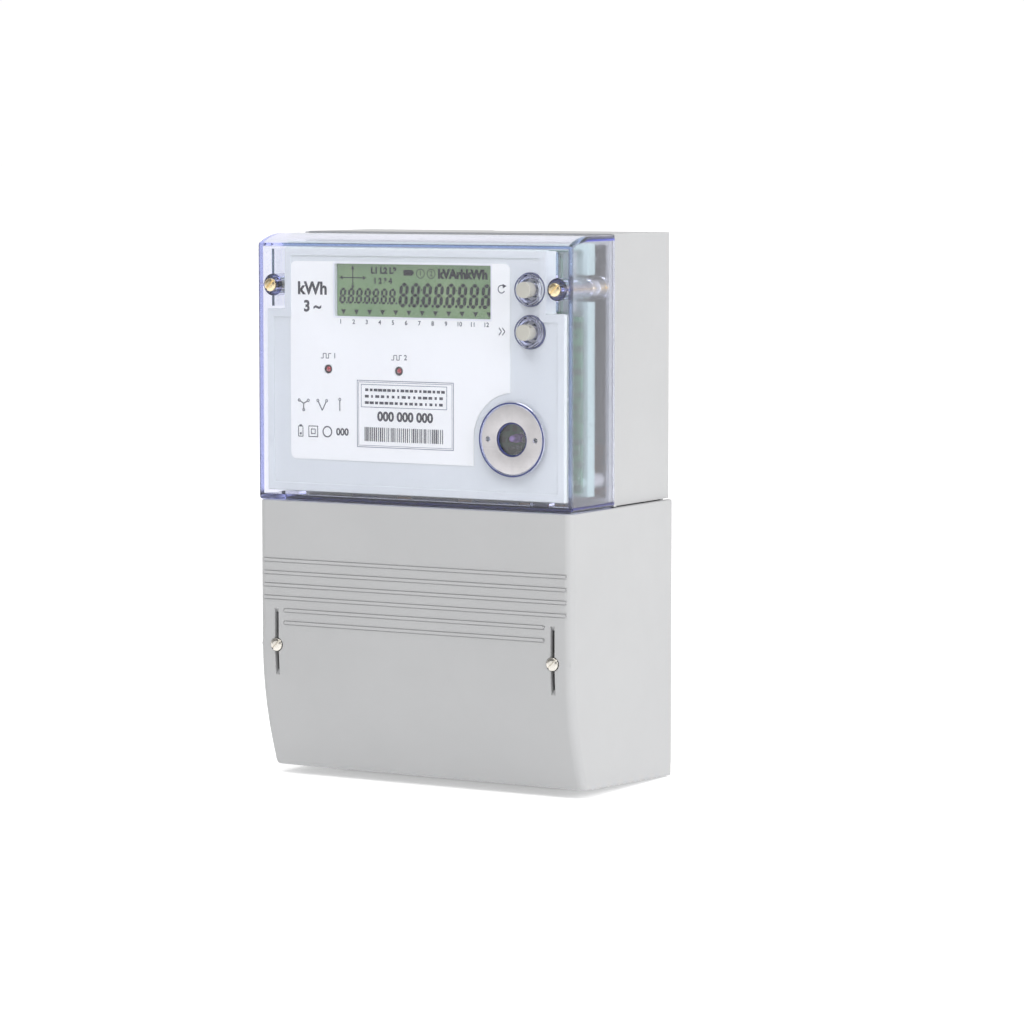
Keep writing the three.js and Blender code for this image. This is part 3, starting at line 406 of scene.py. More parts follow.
finish_of = {
    "case_plastic": case_plastic, "clear_polycarbonate": clear_polycarbonate, "face_plastic": face_plastic,
    "label_film": label_film, "lcd": lcd, "white_plastic": white_plastic, "carrier_plastic": carrier_plastic,
    "circuit_board": circuit_board, "black_rubber": black_rubber, "button_plastic": button_plastic,
    "brass": brass, "copper": copper, "nickel_steel": nickel_steel, "spring_steel": spring_steel,
    "zinc_steel": zinc_steel, "red_lens": red_lens, "dark_plastic": dark_plastic, "block_plastic": block_plastic,
    "core_epoxy": core_epoxy, "battery_sleeve": battery_sleeve,
}
for node, part in frame["nodes"].items():
    part.data.materials.clear()
    part.data.materials.append(finish_of[slot_of[node]])
print(f"{len(finish_of)} finishes set on {len(frame['nodes'])} parts")

# %% [markdown]
# ## Working in drawing units
#
# Shapes are easier to read in millimetres, measured up from the underside of the case, like on a workshop
# drawing. Every mesh below is made that way, at its place, and one matrix turns it into metres in the frame at
# the moment it is shown. The object itself then stays at the origin, unturned and unscaled.

# %% From drawing to frame
TO_FRAME = Matrix.Translation((0, 0, cad_box[0].z)) @ Matrix.Scale(MM, 4)
TO_DRAWING = TO_FRAME.inverted()


def span(node):
    """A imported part's extent in drawing units: (low, high) along X, Y and Z."""
    low, high = (TO_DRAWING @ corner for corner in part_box(node))
    return tuple((low[i], high[i]) for i in range(3))


def centre(node):
    return Vector(sum(pair) / 2 for pair in span(node))


def shown(name, mesh, slot, body, *stands_for, finish=None):
    """Moves a finished mesh into the frame, gives it its finish and lets it ride on a body."""
    mesh.transform(TO_FRAME)
    mesh.materials.clear()
    mesh.materials.append(finish or finish_of[slot])
    piece = bpy.data.objects.new(name, mesh)
    bpy.context.collection.objects.link(piece)
    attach(piece, body)
    if stands_for:
        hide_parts(*stands_for)
    return piece


def made_plain(data, *modifiers):
    """The mesh of a curve, text or mesh after a list of (kind, settings) modifiers."""
    blank = bpy.data.objects.new("blank", data)
    bpy.context.collection.objects.link(blank)
    for kind, settings in modifiers:
        modifier = blank.modifiers.new(kind, kind)
        for name, value in settings.items():
            setattr(modifier, name, value)
    bpy.context.view_layer.update()
    plain = bpy.data.meshes.new_from_object(blank.evaluated_get(bpy.context.evaluated_depsgraph_get()))
    bpy.data.objects.remove(blank)
    return plain


# %% [markdown]
# A moulding has no knife edges: the mould is cut with small radii, and the plastic shrinks round them. The packed
# parts are sharp, so a softened copy stands in for each one that the eye can reach. Doubled corners are merged,
# triangles that lie in one plane are joined and cut anew, which clears away slivers, and a Bevel rounds every
# edge sharper than a limit. Normals that are weighted by face area keep the flat faces flat. A width of nought
# only smooths the copy.

# %% Softened copies
BEVEL_ANGLE = math.radians(32)


def as_mesh(shape, name):
    """Turns a bmesh into a mesh and frees it."""
    mesh = bpy.data.meshes.new(name)
    shape.to_mesh(mesh)
    shape.free()
    return mesh


def merged(mesh, name, cut=True):
    """Merges doubled corners and joins flat triangles, and cuts the large faces anew for a Bevel."""
    shape = bmesh.new()
    shape.from_mesh(mesh)
    bmesh.ops.remove_doubles(shape, verts=shape.verts, dist=1e-3)
    bmesh.ops.dissolve_limit(
        shape, angle_limit=math.radians(0.5), verts=shape.verts, edges=shape.edges, use_dissolve_boundaries=False
    )
    if cut:
        bmesh.ops.triangulate(shape, faces=shape.faces)
    return as_mesh(shape, name)


def rounded(mesh, width, segments=2):
    """Rounds the sharp edges of a mesh and smooths it everywhere else."""
    mesh.shade_smooth()
    bevel = {"width": width, "segments": segments, "limit_method": "ANGLE", "angle_limit": BEVEL_ANGLE,
             "use_clamp_overlap": False, "harden_normals": False, "miter_outer": "MITER_ARC"}
    return made_plain(mesh, ("BEVEL", bevel), ("WEIGHTED_NORMAL", {"keep_sharp": True, "weight": 60}))


def smoothed(mesh, angle=30):
    """Smooths a mesh, keeps its sharp edges sharp and its flat faces flat."""
    mesh.shade_smooth()
    mesh.set_sharp_from_angle(angle=math.radians(angle))
    return made_plain(mesh, ("WEIGHTED_NORMAL", {"keep_sharp": True, "weight": 60}))


def drawn(node):
    """A copy of a node's mesh in drawing units."""
    copy = frame["nodes"][node].data.copy()
    copy.transform(TO_DRAWING)
    return copy


def softened(node, width=0.4, segments=2):
    return rounded(merged(drawn(node), node + "_soft"), width, segments)


SOFTENED = {
    "rear_case": 0, "faceplate": 0.25, "board_carrier": 0.3,
    "terminal_block": 0.4, "auxiliary_terminals": 0.3, "hanging_bracket": 0.25, "lcd_frame": 0.3,
    "phase_1_busbar": 0.4, "phase_2_busbar": 0.4, "phase_3_busbar": 0.4, "neutral_busbar": 0.4,
    "board_link_header": 0.3, "reset_switch": 0.25, "select_switch": 0.25,
    **{f"terminal_cage_{i}": 0.3 for i in range(1, 9)},
}
for node, width in SOFTENED.items():
    copy = softened(node, width) if width else smoothed(merged(drawn(node), node + "_soft", False))
    piece = shown(node + "_body", copy, slot_of[node], body_of[node], node)
    print(f"{piece.name}: {len(piece.data.polygons)} faces")

# %% [markdown]
# ## Turned parts
#
# Screws, buttons, lenses and the iron ring of the optical port are all round about a line along Y. Each is a
# profile of radius against depth that is turned about that line, as on a lathe. Rounding the corners of the
# profile first gives the small radii of real turning, and costs only a few more rings.

# %% The lathe
def eased(corners, radius, steps=3):
    """Rounds the inner corners of an outline; its two ends stay as they are."""
    points = [Vector(corners[0])]
    for before, corner, after in zip(corners, corners[1:], corners[2:]):
        before, corner, after = Vector(before), Vector(corner), Vector(after)
        reach = min(radius, (before - corner).length / 2, (after - corner).length / 2)
        start = corner + (before - corner).normalized() * reach
        end = corner + (after - corner).normalized() * reach
        for i in range(steps + 1):
            t = i / steps
            points.append(start * (1 - t) ** 2 + corner * 2 * t * (1 - t) + end * t**2)
    return [*points, Vector(corners[-1])]


def crisp(mesh):
    """Marks the edges of a smooth mesh that should look sharp."""
    mesh.set_sharp_from_angle(angle=math.radians(40))
    return mesh


def turned(profile, x, z, steps=64, closed=False):
    """Turns a profile of (radius, depth along Y) about the line through x and z."""
    shape = bmesh.new()
    rings = []
    for radius, depth in profile:
        count = steps if radius > 1e-4 else 1
        turns = [2 * math.pi * i / steps for i in range(count)]
        rings.append(
            [shape.verts.new((x + radius * math.cos(a), depth, z + radius * math.sin(a))) for a in turns]
        )
    pairs = list(zip(rings, rings[1:])) + ([(rings[-1], rings[0])] if closed else [])
    for first, second in pairs:
        for i in range(steps):
            j = (i + 1) % steps
            corners = (first, i), (first, j), (second, j), (second, i)
            face = list(dict.fromkeys(ring[k % len(ring)] for ring, k in corners))
            if len(face) > 2:
                shape.faces.new(face)
    bmesh.ops.recalc_face_normals(shape, faces=shape.faces)
    mesh = as_mesh(shape, "turned")
    mesh.shade_smooth()
    return crisp(mesh)


def block(across, deep, up):
    """A plain box between (low, high) pairs, for cutting tools and for parts that are rounded afterwards."""
    shape = bmesh.new()
    bmesh.ops.create_cube(shape, size=1)
    size = [pair[1] - pair[0] for pair in (across, deep, up)]
    middle = [sum(pair) / 2 for pair in (across, deep, up)]
    shape.transform(Matrix.Translation(middle) @ Matrix.Diagonal((*size, 1)))
    return as_mesh(shape, "block")


def shaped(mesh, operation, *tools):
    """Joins tools to a mesh, or cuts them out of it, one after the other."""
    for tool in tools:
        cutter = bpy.data.objects.new("cutter", tool)
        bpy.context.collection.objects.link(cutter)
        mesh = made_plain(mesh, ("BOOLEAN", {"object": cutter, "operation": operation, "solver": "EXACT"}))
        bpy.data.objects.remove(cutter)
    return mesh


def together(*meshes):
    """Several meshes as one."""
    shape = bmesh.new()
    for mesh in meshes:
        shape.from_mesh(mesh)
    return as_mesh(shape, "together")


# %% [markdown]
# Ribs and print are flat. A flat shape is a 2D curve, which can hold holes. It lies in the XY plane when it is
# made, and a quarter turn stands it up against the front of the meter.

# %% Flat outlines
STAND_UP = Matrix.Rotation(math.radians(90), 4, "X")


def stood_up(curve, low, high):
    mesh = made_plain(curve)
    mesh.transform(Matrix.Translation((0, (low + high) / 2, 0)) @ STAND_UP)
    return mesh


def flat(outlines, low, high):
    """Fills closed outlines of (x, z) points between two depths; an outline inside another is a hole."""
    curve = bpy.data.curves.new("flat", "CURVE")
    curve.dimensions = "2D"
    curve.fill_mode = "BOTH"
    curve.extrude = (high - low) / 2
    for points in outlines:
        spline = curve.splines.new("POLY")
        spline.points.add(len(points) - 1)
        for point, (u, v) in zip(spline.points, points):
            point.co = (u, v, 0, 1)
        spline.use_cyclic_u = True
    return stood_up(curve, low, high)


def rectangle(left, right, low, high, corner=0.0, steps=4):
    """A rectangle's outline, with rounded corners if asked."""
    if not corner:
        return [(left, low), (right, low), (right, high), (left, high)]
    points = []
    for u, v, start in ((right - corner, low + corner, 270), (right - corner, high - corner, 0),
                        (left + corner, high - corner, 90), (left + corner, low + corner, 180)):
        turns = [math.radians(start + 90 * i / steps) for i in range(steps + 1)]
        points += [(u + corner * math.cos(a), v + corner * math.sin(a)) for a in turns]
    return points


def circle(x, z, radius, steps=32):
    turns = [2 * math.pi * i / steps for i in range(steps)]
    return [(x + radius * math.cos(a), z + radius * math.sin(a)) for a in turns]


# %% [markdown]
# The cover screws are sealing screws: a brass cheese head with one wide slot, a long shank and a neck that a
# plastic ring clips into, so the screw can't be lost. The slot is cut after turning, because a lathe can't make
# it. All four stand at 45 degrees, so the slot box is turned before it cuts.

# %% Sealing screws
SLOT_WIDTH = 1.0
SLOT_DEPTH = 1.2


def sealing_screw(node, finish):
    (low_x, high_x), (head, tip), (low_z, high_z) = span(node)
    x, z, head_radius = (low_x + high_x) / 2, (low_z + high_z) / 2, (high_x - low_x) / 2
    neck = tip - 13.4
    profile = [(0, head), (head_radius * 0.6, head + 0.02), (head_radius, head + 0.45),
               (head_radius, head + 2), (2, head + 2), (2, neck - 0.1), (1.5, neck - 0.1), (1.5, neck + 1.1),
               (2, neck + 1.1)]
    threads = 10
    pitch = (tip - 1 - neck - 1.4) / threads
    for i in range(threads):
        start = neck + 1.4 + i * pitch
        profile += [(2, start), (1.72, start + pitch * 0.45), (2, start + pitch * 0.9)]
    profile += [(1.2, tip), (0, tip)]
    slot = block((-5, 5), (head - 1, head + SLOT_DEPTH), (-SLOT_WIDTH / 2, SLOT_WIDTH / 2))
    slot.transform(Matrix.Translation((x, 0, z)) @ Matrix.Rotation(math.radians(-45), 4, "Y"))
    screw = crisp(shaped(turned(eased(profile, 0.22), x, z), "DIFFERENCE", slot))
    return shown(node + "_turned", screw, "brass", body_of[node], node, finish=finish)


for side in ("left", "right"):
    sealing_screw("cover_screw_" + side, brass)
    sealing_screw("terminal_cover_screw_" + side, pale_brass)
print("4 sealing screws")

# %% [markdown]
# ## Push buttons
#
# Each button is a grey plastic pin with a wide cap that stands proud of the clear cover. A hole runs through the
# cap at 45 degrees, for the wire of a utility's seal. Under the cap a small spring pushes it back out. The cap
# is turned, and the wire hole is cut from it with a thin rod.

# %% Button caps
WIRE_HOLE_RADIUS = 0.65
WIRE_HOLE_BEHIND_CAP = 2.1
WELL_RADIUS = 7.15
BAND_INNER, BAND_OUTER = WELL_RADIUS + 0.05, WELL_RADIUS + 0.75

for name, lean in (("reset", 45), ("select", 135)):
    node = name + "_button"
    (low_x, high_x), (front, back), (low_z, high_z) = span(node)
    x, z, cap = (low_x + high_x) / 2, (low_z + high_z) / 2, (high_x - low_x) / 2
    profile = eased(
        [(0, front), (cap, front), (cap, -97.5), (2.2, -97.5), (2.2, -89.8), (3.4, -89.8), (3.4, -88.9),
         (2.2, -88.9), (2.2, back), (0, back)], 0.3,
    )
    rod = turned([(0, -9), (WIRE_HOLE_RADIUS, -9), (WIRE_HOLE_RADIUS, 9), (0, 9)], 0, 0, 16)
    rod.transform(
        Matrix.Translation((x, front + WIRE_HOLE_BEHIND_CAP, z))
        @ Matrix.Rotation(math.radians(lean), 4, "Y") @ Matrix.Rotation(math.radians(90), 4, "Z")
    )
    cap_mesh = crisp(shaped(turned(profile, x, z), "DIFFERENCE", rod))
    shown(node + "_cap", cap_mesh, "button_plastic", body_of[node], node)
    _, (seal_front, seal_back), _ = span(node + "_seal")
    lip = eased([(2.36, seal_back), (2.36, seal_front), (3.0, seal_front + 0.2), (3.55, seal_front),
                 (3.55, seal_back)], 0.15)
    shown(node + "_lip_seal", turned(lip, x, z, 48, closed=True), "black_rubber", body_of[node + "_seal"],
          node + "_seal")
    pad = eased([(3.8, -90.75), (3.8, -90.95), (6.9, -90.95), (6.9, -90.35), (3.8, -90.35), (3.8, -90.7)], 0.1)
    shown(node + "_guide_ring", turned(pad, x, z, 64, closed=True), "white_plastic", "rear_case")
    # The navy band round each well is painted shade, not a part: it stands for the dark edge that the clear well
    # wall shows by total internal reflection.
    band = eased([(BAND_INNER, -93), (BAND_INNER, -95.6), (BAND_OUTER, -95.6), (BAND_OUTER, -91.4),
                  (BAND_INNER, -91.4), (BAND_INNER, -92.9)], 0.2)
    shown(node + "_well_band", turned(band, x, z, 64, closed=True), "black_rubber", "meter_cover",
          finish=navy_rubber)
# The bands counted here are painted shade rings, not rubber.
print("2 button caps, 2 lip seals, 2 guide rings and 2 painted shade rings round the wells")

# %% [markdown]
# ## The terminal cover
#
# The lower cover is one grey moulding with an even wall. Its front stands upright and then leans back on a long
# arc, and its upright corners are well rounded. A loft suits that best: one plan outline, with the same count of
# points at every height, is moved back along the arc and joined row by row. The same loft drawn in by the wall
# is cut out of it, and exact Booleans add the screw pillars and cut the openings.

# %% The shape of the terminal cover
(_, HALF), (COVER_FRONT, COVER_BACK), (_, COVER_TOP) = span("terminal_cover")
RIB_HEIGHT = 0.45
FRONT = COVER_FRONT + RIB_HEIGHT
LEAN_FROM, LEAN_RADIUS, LEAN_TO = 66.0, 159.0, 9.0
CORNER = 4.0
WALL = 2.5
UNDERSIDE_RISE = 4.0


def plan(front, inset, height, back):
    """One row of the loft: from the back left, round both front corners, to the back right."""
    half, radius, steps = HALF - inset, max(CORNER - inset, 1.5), 8
    turns = [math.radians(180 + 90 * i / steps) for i in range(steps + 1)]
    left = [(-half + radius + radius * math.cos(a), front + radius + radius * math.sin(a)) for a in turns]
    right = [(-x, y) for x, y in reversed(left)]
    sides = [back + (front + radius - back) * i / 3 for i in range(3)]
    outline = [(-half, y) for y in sides] + left + right + [(half, y) for y in reversed(sides)]
    return [(x, y, height(y)) for x, y in outline]


lean = math.asin((LEAN_FROM - LEAN_TO) / LEAN_RADIUS)
lowest_front = FRONT + LEAN_RADIUS * (1 - math.cos(lean))
rise = UNDERSIDE_RISE / -lowest_front


def level(z):
    return lambda y: z


def leaning(inset, back, steps=24):
    """The straight front and the part that leans back, drawn in by an inset."""
    radius = LEAN_RADIUS - inset
    arc = [lean * i / steps for i in range(steps + 1)]
    upright = [plan(FRONT + inset, inset, level(z), back) for z in (100, 80)]
    return upright + [plan(FRONT + inset + radius * (1 - math.cos(a)), inset,
                           level(LEAN_FROM - radius * math.sin(a)), back) for a in arc]


def lofted(name, loft):
    """Joins closed rows of points, level by level, into a solid with both ends capped."""
    solid = bmesh.new()
    verts = [[solid.verts.new(point) for point in row] for row in loft]
    for upper, lower in zip(verts, verts[1:]):
        for i in range(len(upper)):
            j = (i + 1) % len(upper)
            solid.faces.new((upper[i], upper[j], lower[j], lower[i]))
    solid.faces.new(verts[0])
    solid.faces.new(verts[-1])
    bmesh.ops.recalc_face_normals(solid, faces=solid.faces)
    return as_mesh(solid, name)


def underside(y):
    return -rise * y


edge, past = COVER_BACK, COVER_BACK + 5
loft = [
    plan(FRONT + 0.7, 0.7, level(COVER_TOP), edge), plan(FRONT + 0.2, 0.2, level(COVER_TOP - 0.2), edge),
    plan(FRONT, 0, level(COVER_TOP - 0.7), edge), *leaning(0, edge),
    plan(lowest_front + 0.7, 0.0, level(6.6), edge), plan(lowest_front + 1.5, 0.1, level(5.1), edge),
    plan(lowest_front + 2.4, 0.2, lambda y: underside(y) + 0.25, edge),
    plan(lowest_front + 3.4, 0.5, underside, edge),
]
room = [
    plan(FRONT + WALL, WALL, level(COVER_TOP - WALL), past), *leaning(WALL, past),
    plan(lowest_front + WALL + 0.9, WALL, level(6.9), past),
    plan(lowest_front + WALL + 3.5, WALL, lambda y: underside(y) + WALL, past),
]
walled = shaped(lofted("terminal_cover_skin", loft), "DIFFERENCE", lofted("terminal_cover_room", room))
print(f"terminal cover wall: {len(walled.polygons)} faces")

# %% Pillars, openings and screw seats
screw_x, _, screw_z = centre("terminal_cover_screw_right")
pillar_end = span("terminal_cover_insert_right")[1][0] - 0.6
half_slot, slot_depth = 16.4, 8.0
slot_radius = (half_slot**2 + slot_depth**2) / (2 * slot_depth)
for side in (-1, 1):
    x = side * screw_x
    pillar = turned([(0, FRONT + 0.6), (5, FRONT + 0.6), (5, pillar_end), (0, pillar_end)], x, screw_z, 48)
    web_x = (-HALF + 1, -screw_x) if side < 0 else (screw_x, HALF - 1)
    web = block(web_x, (FRONT + 1, -60), (screw_z - 0.8, screw_z + 0.8))
    walled = shaped(walled, "UNION", pillar, web)
walled = shaped(
    walled, "DIFFERENCE", block((-HALF + WALL, HALF - WALL), (-56.5, 5), (120, 140)),
    block((-62, 62), (-62, 5), (-5, 10)),
)
for side in (-1, 1):
    x = side * screw_x
    disc = turned([(0, -1.1), (slot_radius, -1.1), (slot_radius, 1.1), (0, 1.1)], 0, 0, 160)
    disc.transform(
        Matrix.Translation((x, FRONT + slot_depth - slot_radius, 64.6)) @ Matrix.Rotation(math.radians(90), 4, "Z")
    )
    bores = [turned([(0, start), (radius, start), (radius, end), (0, end)], x, screw_z, 48)
             for radius, start, end in ((3.4, FRONT - 2, -96.8), (2.4, FRONT - 2, -40), (4.0, -60.1, -40))]
    walled = shaped(walled, "DIFFERENCE", disc, *bores)

# %% [markdown]
# ## Geometry Nodes for what repeats
#
# A spring follows a spiral, screws stand in rows, and the components of a board repeat by the dozen. Geometry
# Nodes make each of them from a rule with named inputs. The tree runs once on an empty mesh, and the result is
# kept as a plain mesh.

# %% Building and running a tree
def rule(name, inputs):
    """An empty geometry tree with named inputs, given as {name: (socket kind, value)}."""
    tree = bpy.data.node_groups.new(name, "GeometryNodeTree")
    for label, (kind, value) in inputs.items():
        socket = tree.interface.new_socket(label, in_out="INPUT", socket_type="NodeSocket" + kind)
        if value is not None:
            socket.default_value = value
    tree.interface.new_socket("Geometry", in_out="OUTPUT", socket_type="NodeSocketGeometry")
    return tree, tree.nodes.new("NodeGroupInput").outputs


def ended(tree, geometry, material):
    """Ends a tree: instances made real, and the finish set."""
    real = put(tree, "GeometryNodeRealizeInstances", {0: geometry})
    painted = put(tree, "GeometryNodeSetMaterial", {"Geometry": real.outputs[0], "Material": material})
    put(tree, "NodeGroupOutput", {"Geometry": painted.outputs[0]})


def follow(tree, **values):
    """Runs a tree with its inputs set, and returns the plain mesh that it makes."""
    blank = bpy.data.objects.new(tree.name, bpy.data.meshes.new(tree.name))
    bpy.context.collection.objects.link(blank)
    modifier = blank.modifiers.new("rule", "NODES")
    modifier.node_group = tree
    sockets = {item.name: item.identifier for item in tree.interface.items_tree if item.in_out == "INPUT"}
    for label, value in values.items():
        modifier[sockets[label]] = value
    bpy.context.view_layer.update()
    plain = bpy.data.meshes.new_from_object(blank.evaluated_get(bpy.context.evaluated_depsgraph_get()))
    bpy.data.objects.remove(blank)
    return plain


# %% The spring rule
coil, coil_in = rule("coil", {
    "Radius": ("Float", 3.1), "Length": ("Float", 4.0), "Turns": ("Float", 4.0), "Wire": ("Float", 0.25),
    "Finish": ("Material", None),
})
spiral = put(coil, "GeometryNodeCurveSpiral", {
    "Resolution": 28, "Rotations": coil_in["Turns"], "Start Radius": coil_in["Radius"],
    "End Radius": coil_in["Radius"], "Height": coil_in["Length"],
})
section = put(coil, "GeometryNodeCurvePrimitiveCircle", {"Resolution": 8, "Radius": coil_in["Wire"]})
wire = put(coil, "GeometryNodeCurveToMesh", {"Curve": spiral.outputs[0], "Profile Curve": section.outputs[0]})
wire.inputs["Fill Caps"].default_value = True
smooth = put(coil, "GeometryNodeSetShadeSmooth", {"Geometry": wire.outputs[0]})
ended(coil, smooth.outputs[0], coil_in["Finish"])

# %% [markdown]
# The button springs shorten as a button goes in. They are the one thing here that changes shape; each coil is
# built at its packed length, on the body of its spring, with a mesh of its own.

# %% Button springs
WIRE_RADIUS = 0.28
for name in ("reset", "select"):
    node = name + "_button_spring"
    (low_x, high_x), (front, back), (low_z, high_z) = span(node)
    length = back - front - 2 * WIRE_RADIUS
    spring = follow(coil, Radius=3.1, Length=length, Turns=4.0, Wire=WIRE_RADIUS, Finish=spring_steel)
    spring.transform(
        Matrix.Translation(((low_x + high_x) / 2, front + WIRE_RADIUS, (low_z + high_z) / 2))
        @ Matrix.Rotation(math.radians(-90), 4, "X")
    )
    piece = shown(node + "_coil", spring, "spring_steel", body_of[node], node)
    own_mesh(piece)

# %% [markdown]
# Ribs, figures and clamp screws all stand in even rows. The rule for rows takes any piece, a count and a step
# across and up, and repeats the piece on that grid.

# %% The row rule
rows, rows_in = rule("rows", {
    "Piece": ("Object", None), "Across": ("Int", 8), "Up": ("Int", 1), "Step across": ("Float", 6.0),
    "Step up": ("Float", 6.0), "Finish": ("Material", None),
})
across_step = put(rows, "ShaderNodeCombineXYZ", {0: rows_in["Step across"]})
up_step = put(rows, "ShaderNodeCombineXYZ", {2: rows_in["Step up"]})
line_up = put(rows, "GeometryNodeMeshLine", {"Count": rows_in["Up"], "Offset": up_step.outputs[0]}, mode="OFFSET")
line_across = put(
    rows, "GeometryNodeMeshLine", {"Count": rows_in["Across"], "Offset": across_step.outputs[0]}, mode="OFFSET"
)
piece_in = put(rows, "GeometryNodeObjectInfo", {"Object": rows_in["Piece"]})
one_row = put(
    rows, "GeometryNodeInstanceOnPoints",
    {"Points": line_across.outputs[0], "Instance": piece_in.outputs["Geometry"]},
)
all_rows = put(
    rows, "GeometryNodeInstanceOnPoints", {"Points": line_up.outputs[0], "Instance": one_row.outputs[0]}
)
ended(rows, all_rows.outputs[0], rows_in["Finish"])


def in_rows(mesh, first, across, step_across, up=1, step_up=1.0, finish=None):
    """Repeats a mesh from the place of its first copy."""
    pattern = bpy.data.objects.new("pattern", mesh)
    bpy.context.collection.objects.link(pattern)
    values = {"Piece": pattern, "Across": across, "Up": up, "Step across": step_across, "Step up": step_up}
    made = follow(rows, **values, Finish=finish)
    bpy.data.objects.remove(pattern)
    made.transform(Matrix.Translation(first))
    return made


# %% Ribs of the terminal cover
RIB_WIDTH, GROOVE_WIDTH, GROOVE_DEPTH = 1.35, 2.05, 0.25
RIB_PITCH = 5.95
RIB_TOP = 104.0
RIB_ROWS = ((83, 3, 4), (71.1, 5, 2))


def round_ended(half, width, low, high):
    """A flat bar with round ends, on the front of the cover."""
    return flat([rectangle(-half, half, -width / 2, width / 2, width / 2 - 0.01, 6)], low, high)


def rib_rows(width, low, high, grown=0.0):
    """Both lengths of rib as (half length, row of the lowest, count), each repeated upwards."""
    made = []
    for half, last, count in RIB_ROWS:
        piece = round_ended(half + grown, width, low, high)
        first = (0, FRONT, RIB_TOP - last * RIB_PITCH)
        made.append(in_rows(piece, first, 1, 1, count, RIB_PITCH, finish=case_plastic))
    return made


grooves = rib_rows(GROOVE_WIDTH, -3, GROOVE_DEPTH, 0.5)
walled = shaped(walled, "DIFFERENCE", *grooves)
shown("terminal_cover_moulding", smoothed(walled), "case_plastic", "terminal_cover", "terminal_cover")
ribs = rounded(merged(together(*rib_rows(RIB_WIDTH, -RIB_HEIGHT, GROOVE_DEPTH + 0.2)), "ribs"), 0.14)
shown("terminal_cover_ribs", ribs, "case_plastic", "terminal_cover")
print("6 ribs, each in a shallow groove")

# %% [markdown]
# ## The optical port
#
# A reading head clings by its magnet to a ring of bead-blasted, nickel-plated iron. Light passes through the
# hole in its middle, and two pins of the cover come through the ring and keep it from turning. The ring is turned
# with a small radius on its edges, and the pin holes are cut after that.

# %% Port plate
(port_left, port_right), (port_front, port_back), (port_low, port_high) = span("optical_port_plate")
PORT_X, PORT_Z = (port_left + port_right) / 2, (port_low + port_high) / 2
PORT_HOLE = 8.0
PIN_OUT = 12.5
plate_radius = (port_right - port_left) / 2
halfway = (port_front + port_back) / 2

ring = turned(
    eased([(PORT_HOLE, halfway), (PORT_HOLE, port_front), (plate_radius, port_front),
           (plate_radius, port_back), (PORT_HOLE, port_back), (PORT_HOLE, halfway + 0.01)], 0.2),
    PORT_X, PORT_Z, 96, closed=True,
)
pins = [
    turned([(0, port_front - 1), (1.2, port_front - 1), (1.2, port_back + 1), (0, port_back + 1)],
           PORT_X + side * PIN_OUT, PORT_Z, 24)
    for side in (-1, 1)
]
plate = crisp(shaped(ring, "DIFFERENCE", *pins))
shown("optical_port_ring", plate, "nickel_steel", "meter_cover", "optical_port_plate")

# A thin violet-navy ring just outside the iron ring is painted shade, not a part of the meter: it stands for the
# dark gap and the refracted wall of the seat.
seat_front = port_front - 0.2
line_ring = turned(
    eased([(plate_radius + 0.45, seat_front), (plate_radius + 0.45, seat_front - 0.05),
           (plate_radius + 1.15, seat_front - 0.05), (plate_radius + 1.15, seat_front + 0.05),
           (plate_radius + 0.45, seat_front + 0.05), (plate_radius + 0.45, seat_front + 0.01)], 0.02),
    PORT_X, PORT_Z, 96, closed=True,
)
shown("optical_port_line", line_ring, "black_rubber", "meter_cover", finish=violet_line)
print(f"port ring, {2 * plate_radius:.0f} mm across")

# %% [markdown]
# ## The meter cover
#
# The clear cover is lofted too, but from side to side. Its outline from the side stays the same across the whole
# width and only draws in over the last two millimetres, which rounds both side edges. The screw pillars, their
# thin webs, the two button wells and the seat of the optical port are joined to the shell, and then the bores
# are cut. The wells flare at the mouth, so each shows as two bright rings.

# %% The shape of the meter cover
(METER_LEFT, METER_RIGHT), _, (METER_LOW, _) = span("meter_cover")
METER_FRONT = span("optical_port_plate")[1][0] + 0.4
METER_BACK = -57.4
ROOF_BEGINS, ROOF_RADIUS, ROOF_TOP = -80.0, 40.3, 259.0
SIDE_RADIUS = 2.0


def side_outline(x, inset, back):
    """The cover from the side, drawn in by an inset: bottom, front, curved roof."""
    front, low, radius = METER_FRONT + inset, METER_LOW + inset, ROOF_RADIUS - inset
    sweep = math.asin((ROOF_BEGINS - front) / radius)
    arc = [(ROOF_BEGINS - radius * math.sin(sweep * (1 - i / 16)),
            ROOF_TOP - ROOF_RADIUS + radius * math.cos(sweep * (1 - i / 16))) for i in range(17)]
    corners = eased([(back, low), (front, low), arc[0], arc[1]], 0.8)
    points = [tuple(point) for point in corners] + arc[2:] + [(back, ROOF_TOP - inset)]
    return [(x, y, z) for y, z in points]


edge_turns = [math.radians(90 * i / 6) for i in range(7)]
left_rows = [
    side_outline(METER_LEFT + SIDE_RADIUS * (1 - math.cos(a)), SIDE_RADIUS * (1 - math.sin(a)), METER_BACK)
    for a in edge_turns
]
right_rows = [[(-x, y, z) for x, y, z in row] for row in reversed(left_rows)]
inner_rows = [side_outline(x, WALL, METER_BACK + 8) for x in (METER_LEFT + WALL, METER_RIGHT - WALL)]
clear = shaped(lofted("meter_cover_skin", left_rows + right_rows), "DIFFERENCE",
               lofted("meter_cover_room", inner_rows))
print(f"meter cover wall: {len(clear.polygons)} faces")


def rod(x, z, radius, start, end, steps=48):
    return turned([(0, start), (radius, start), (radius, end), (0, end)], x, z, steps)


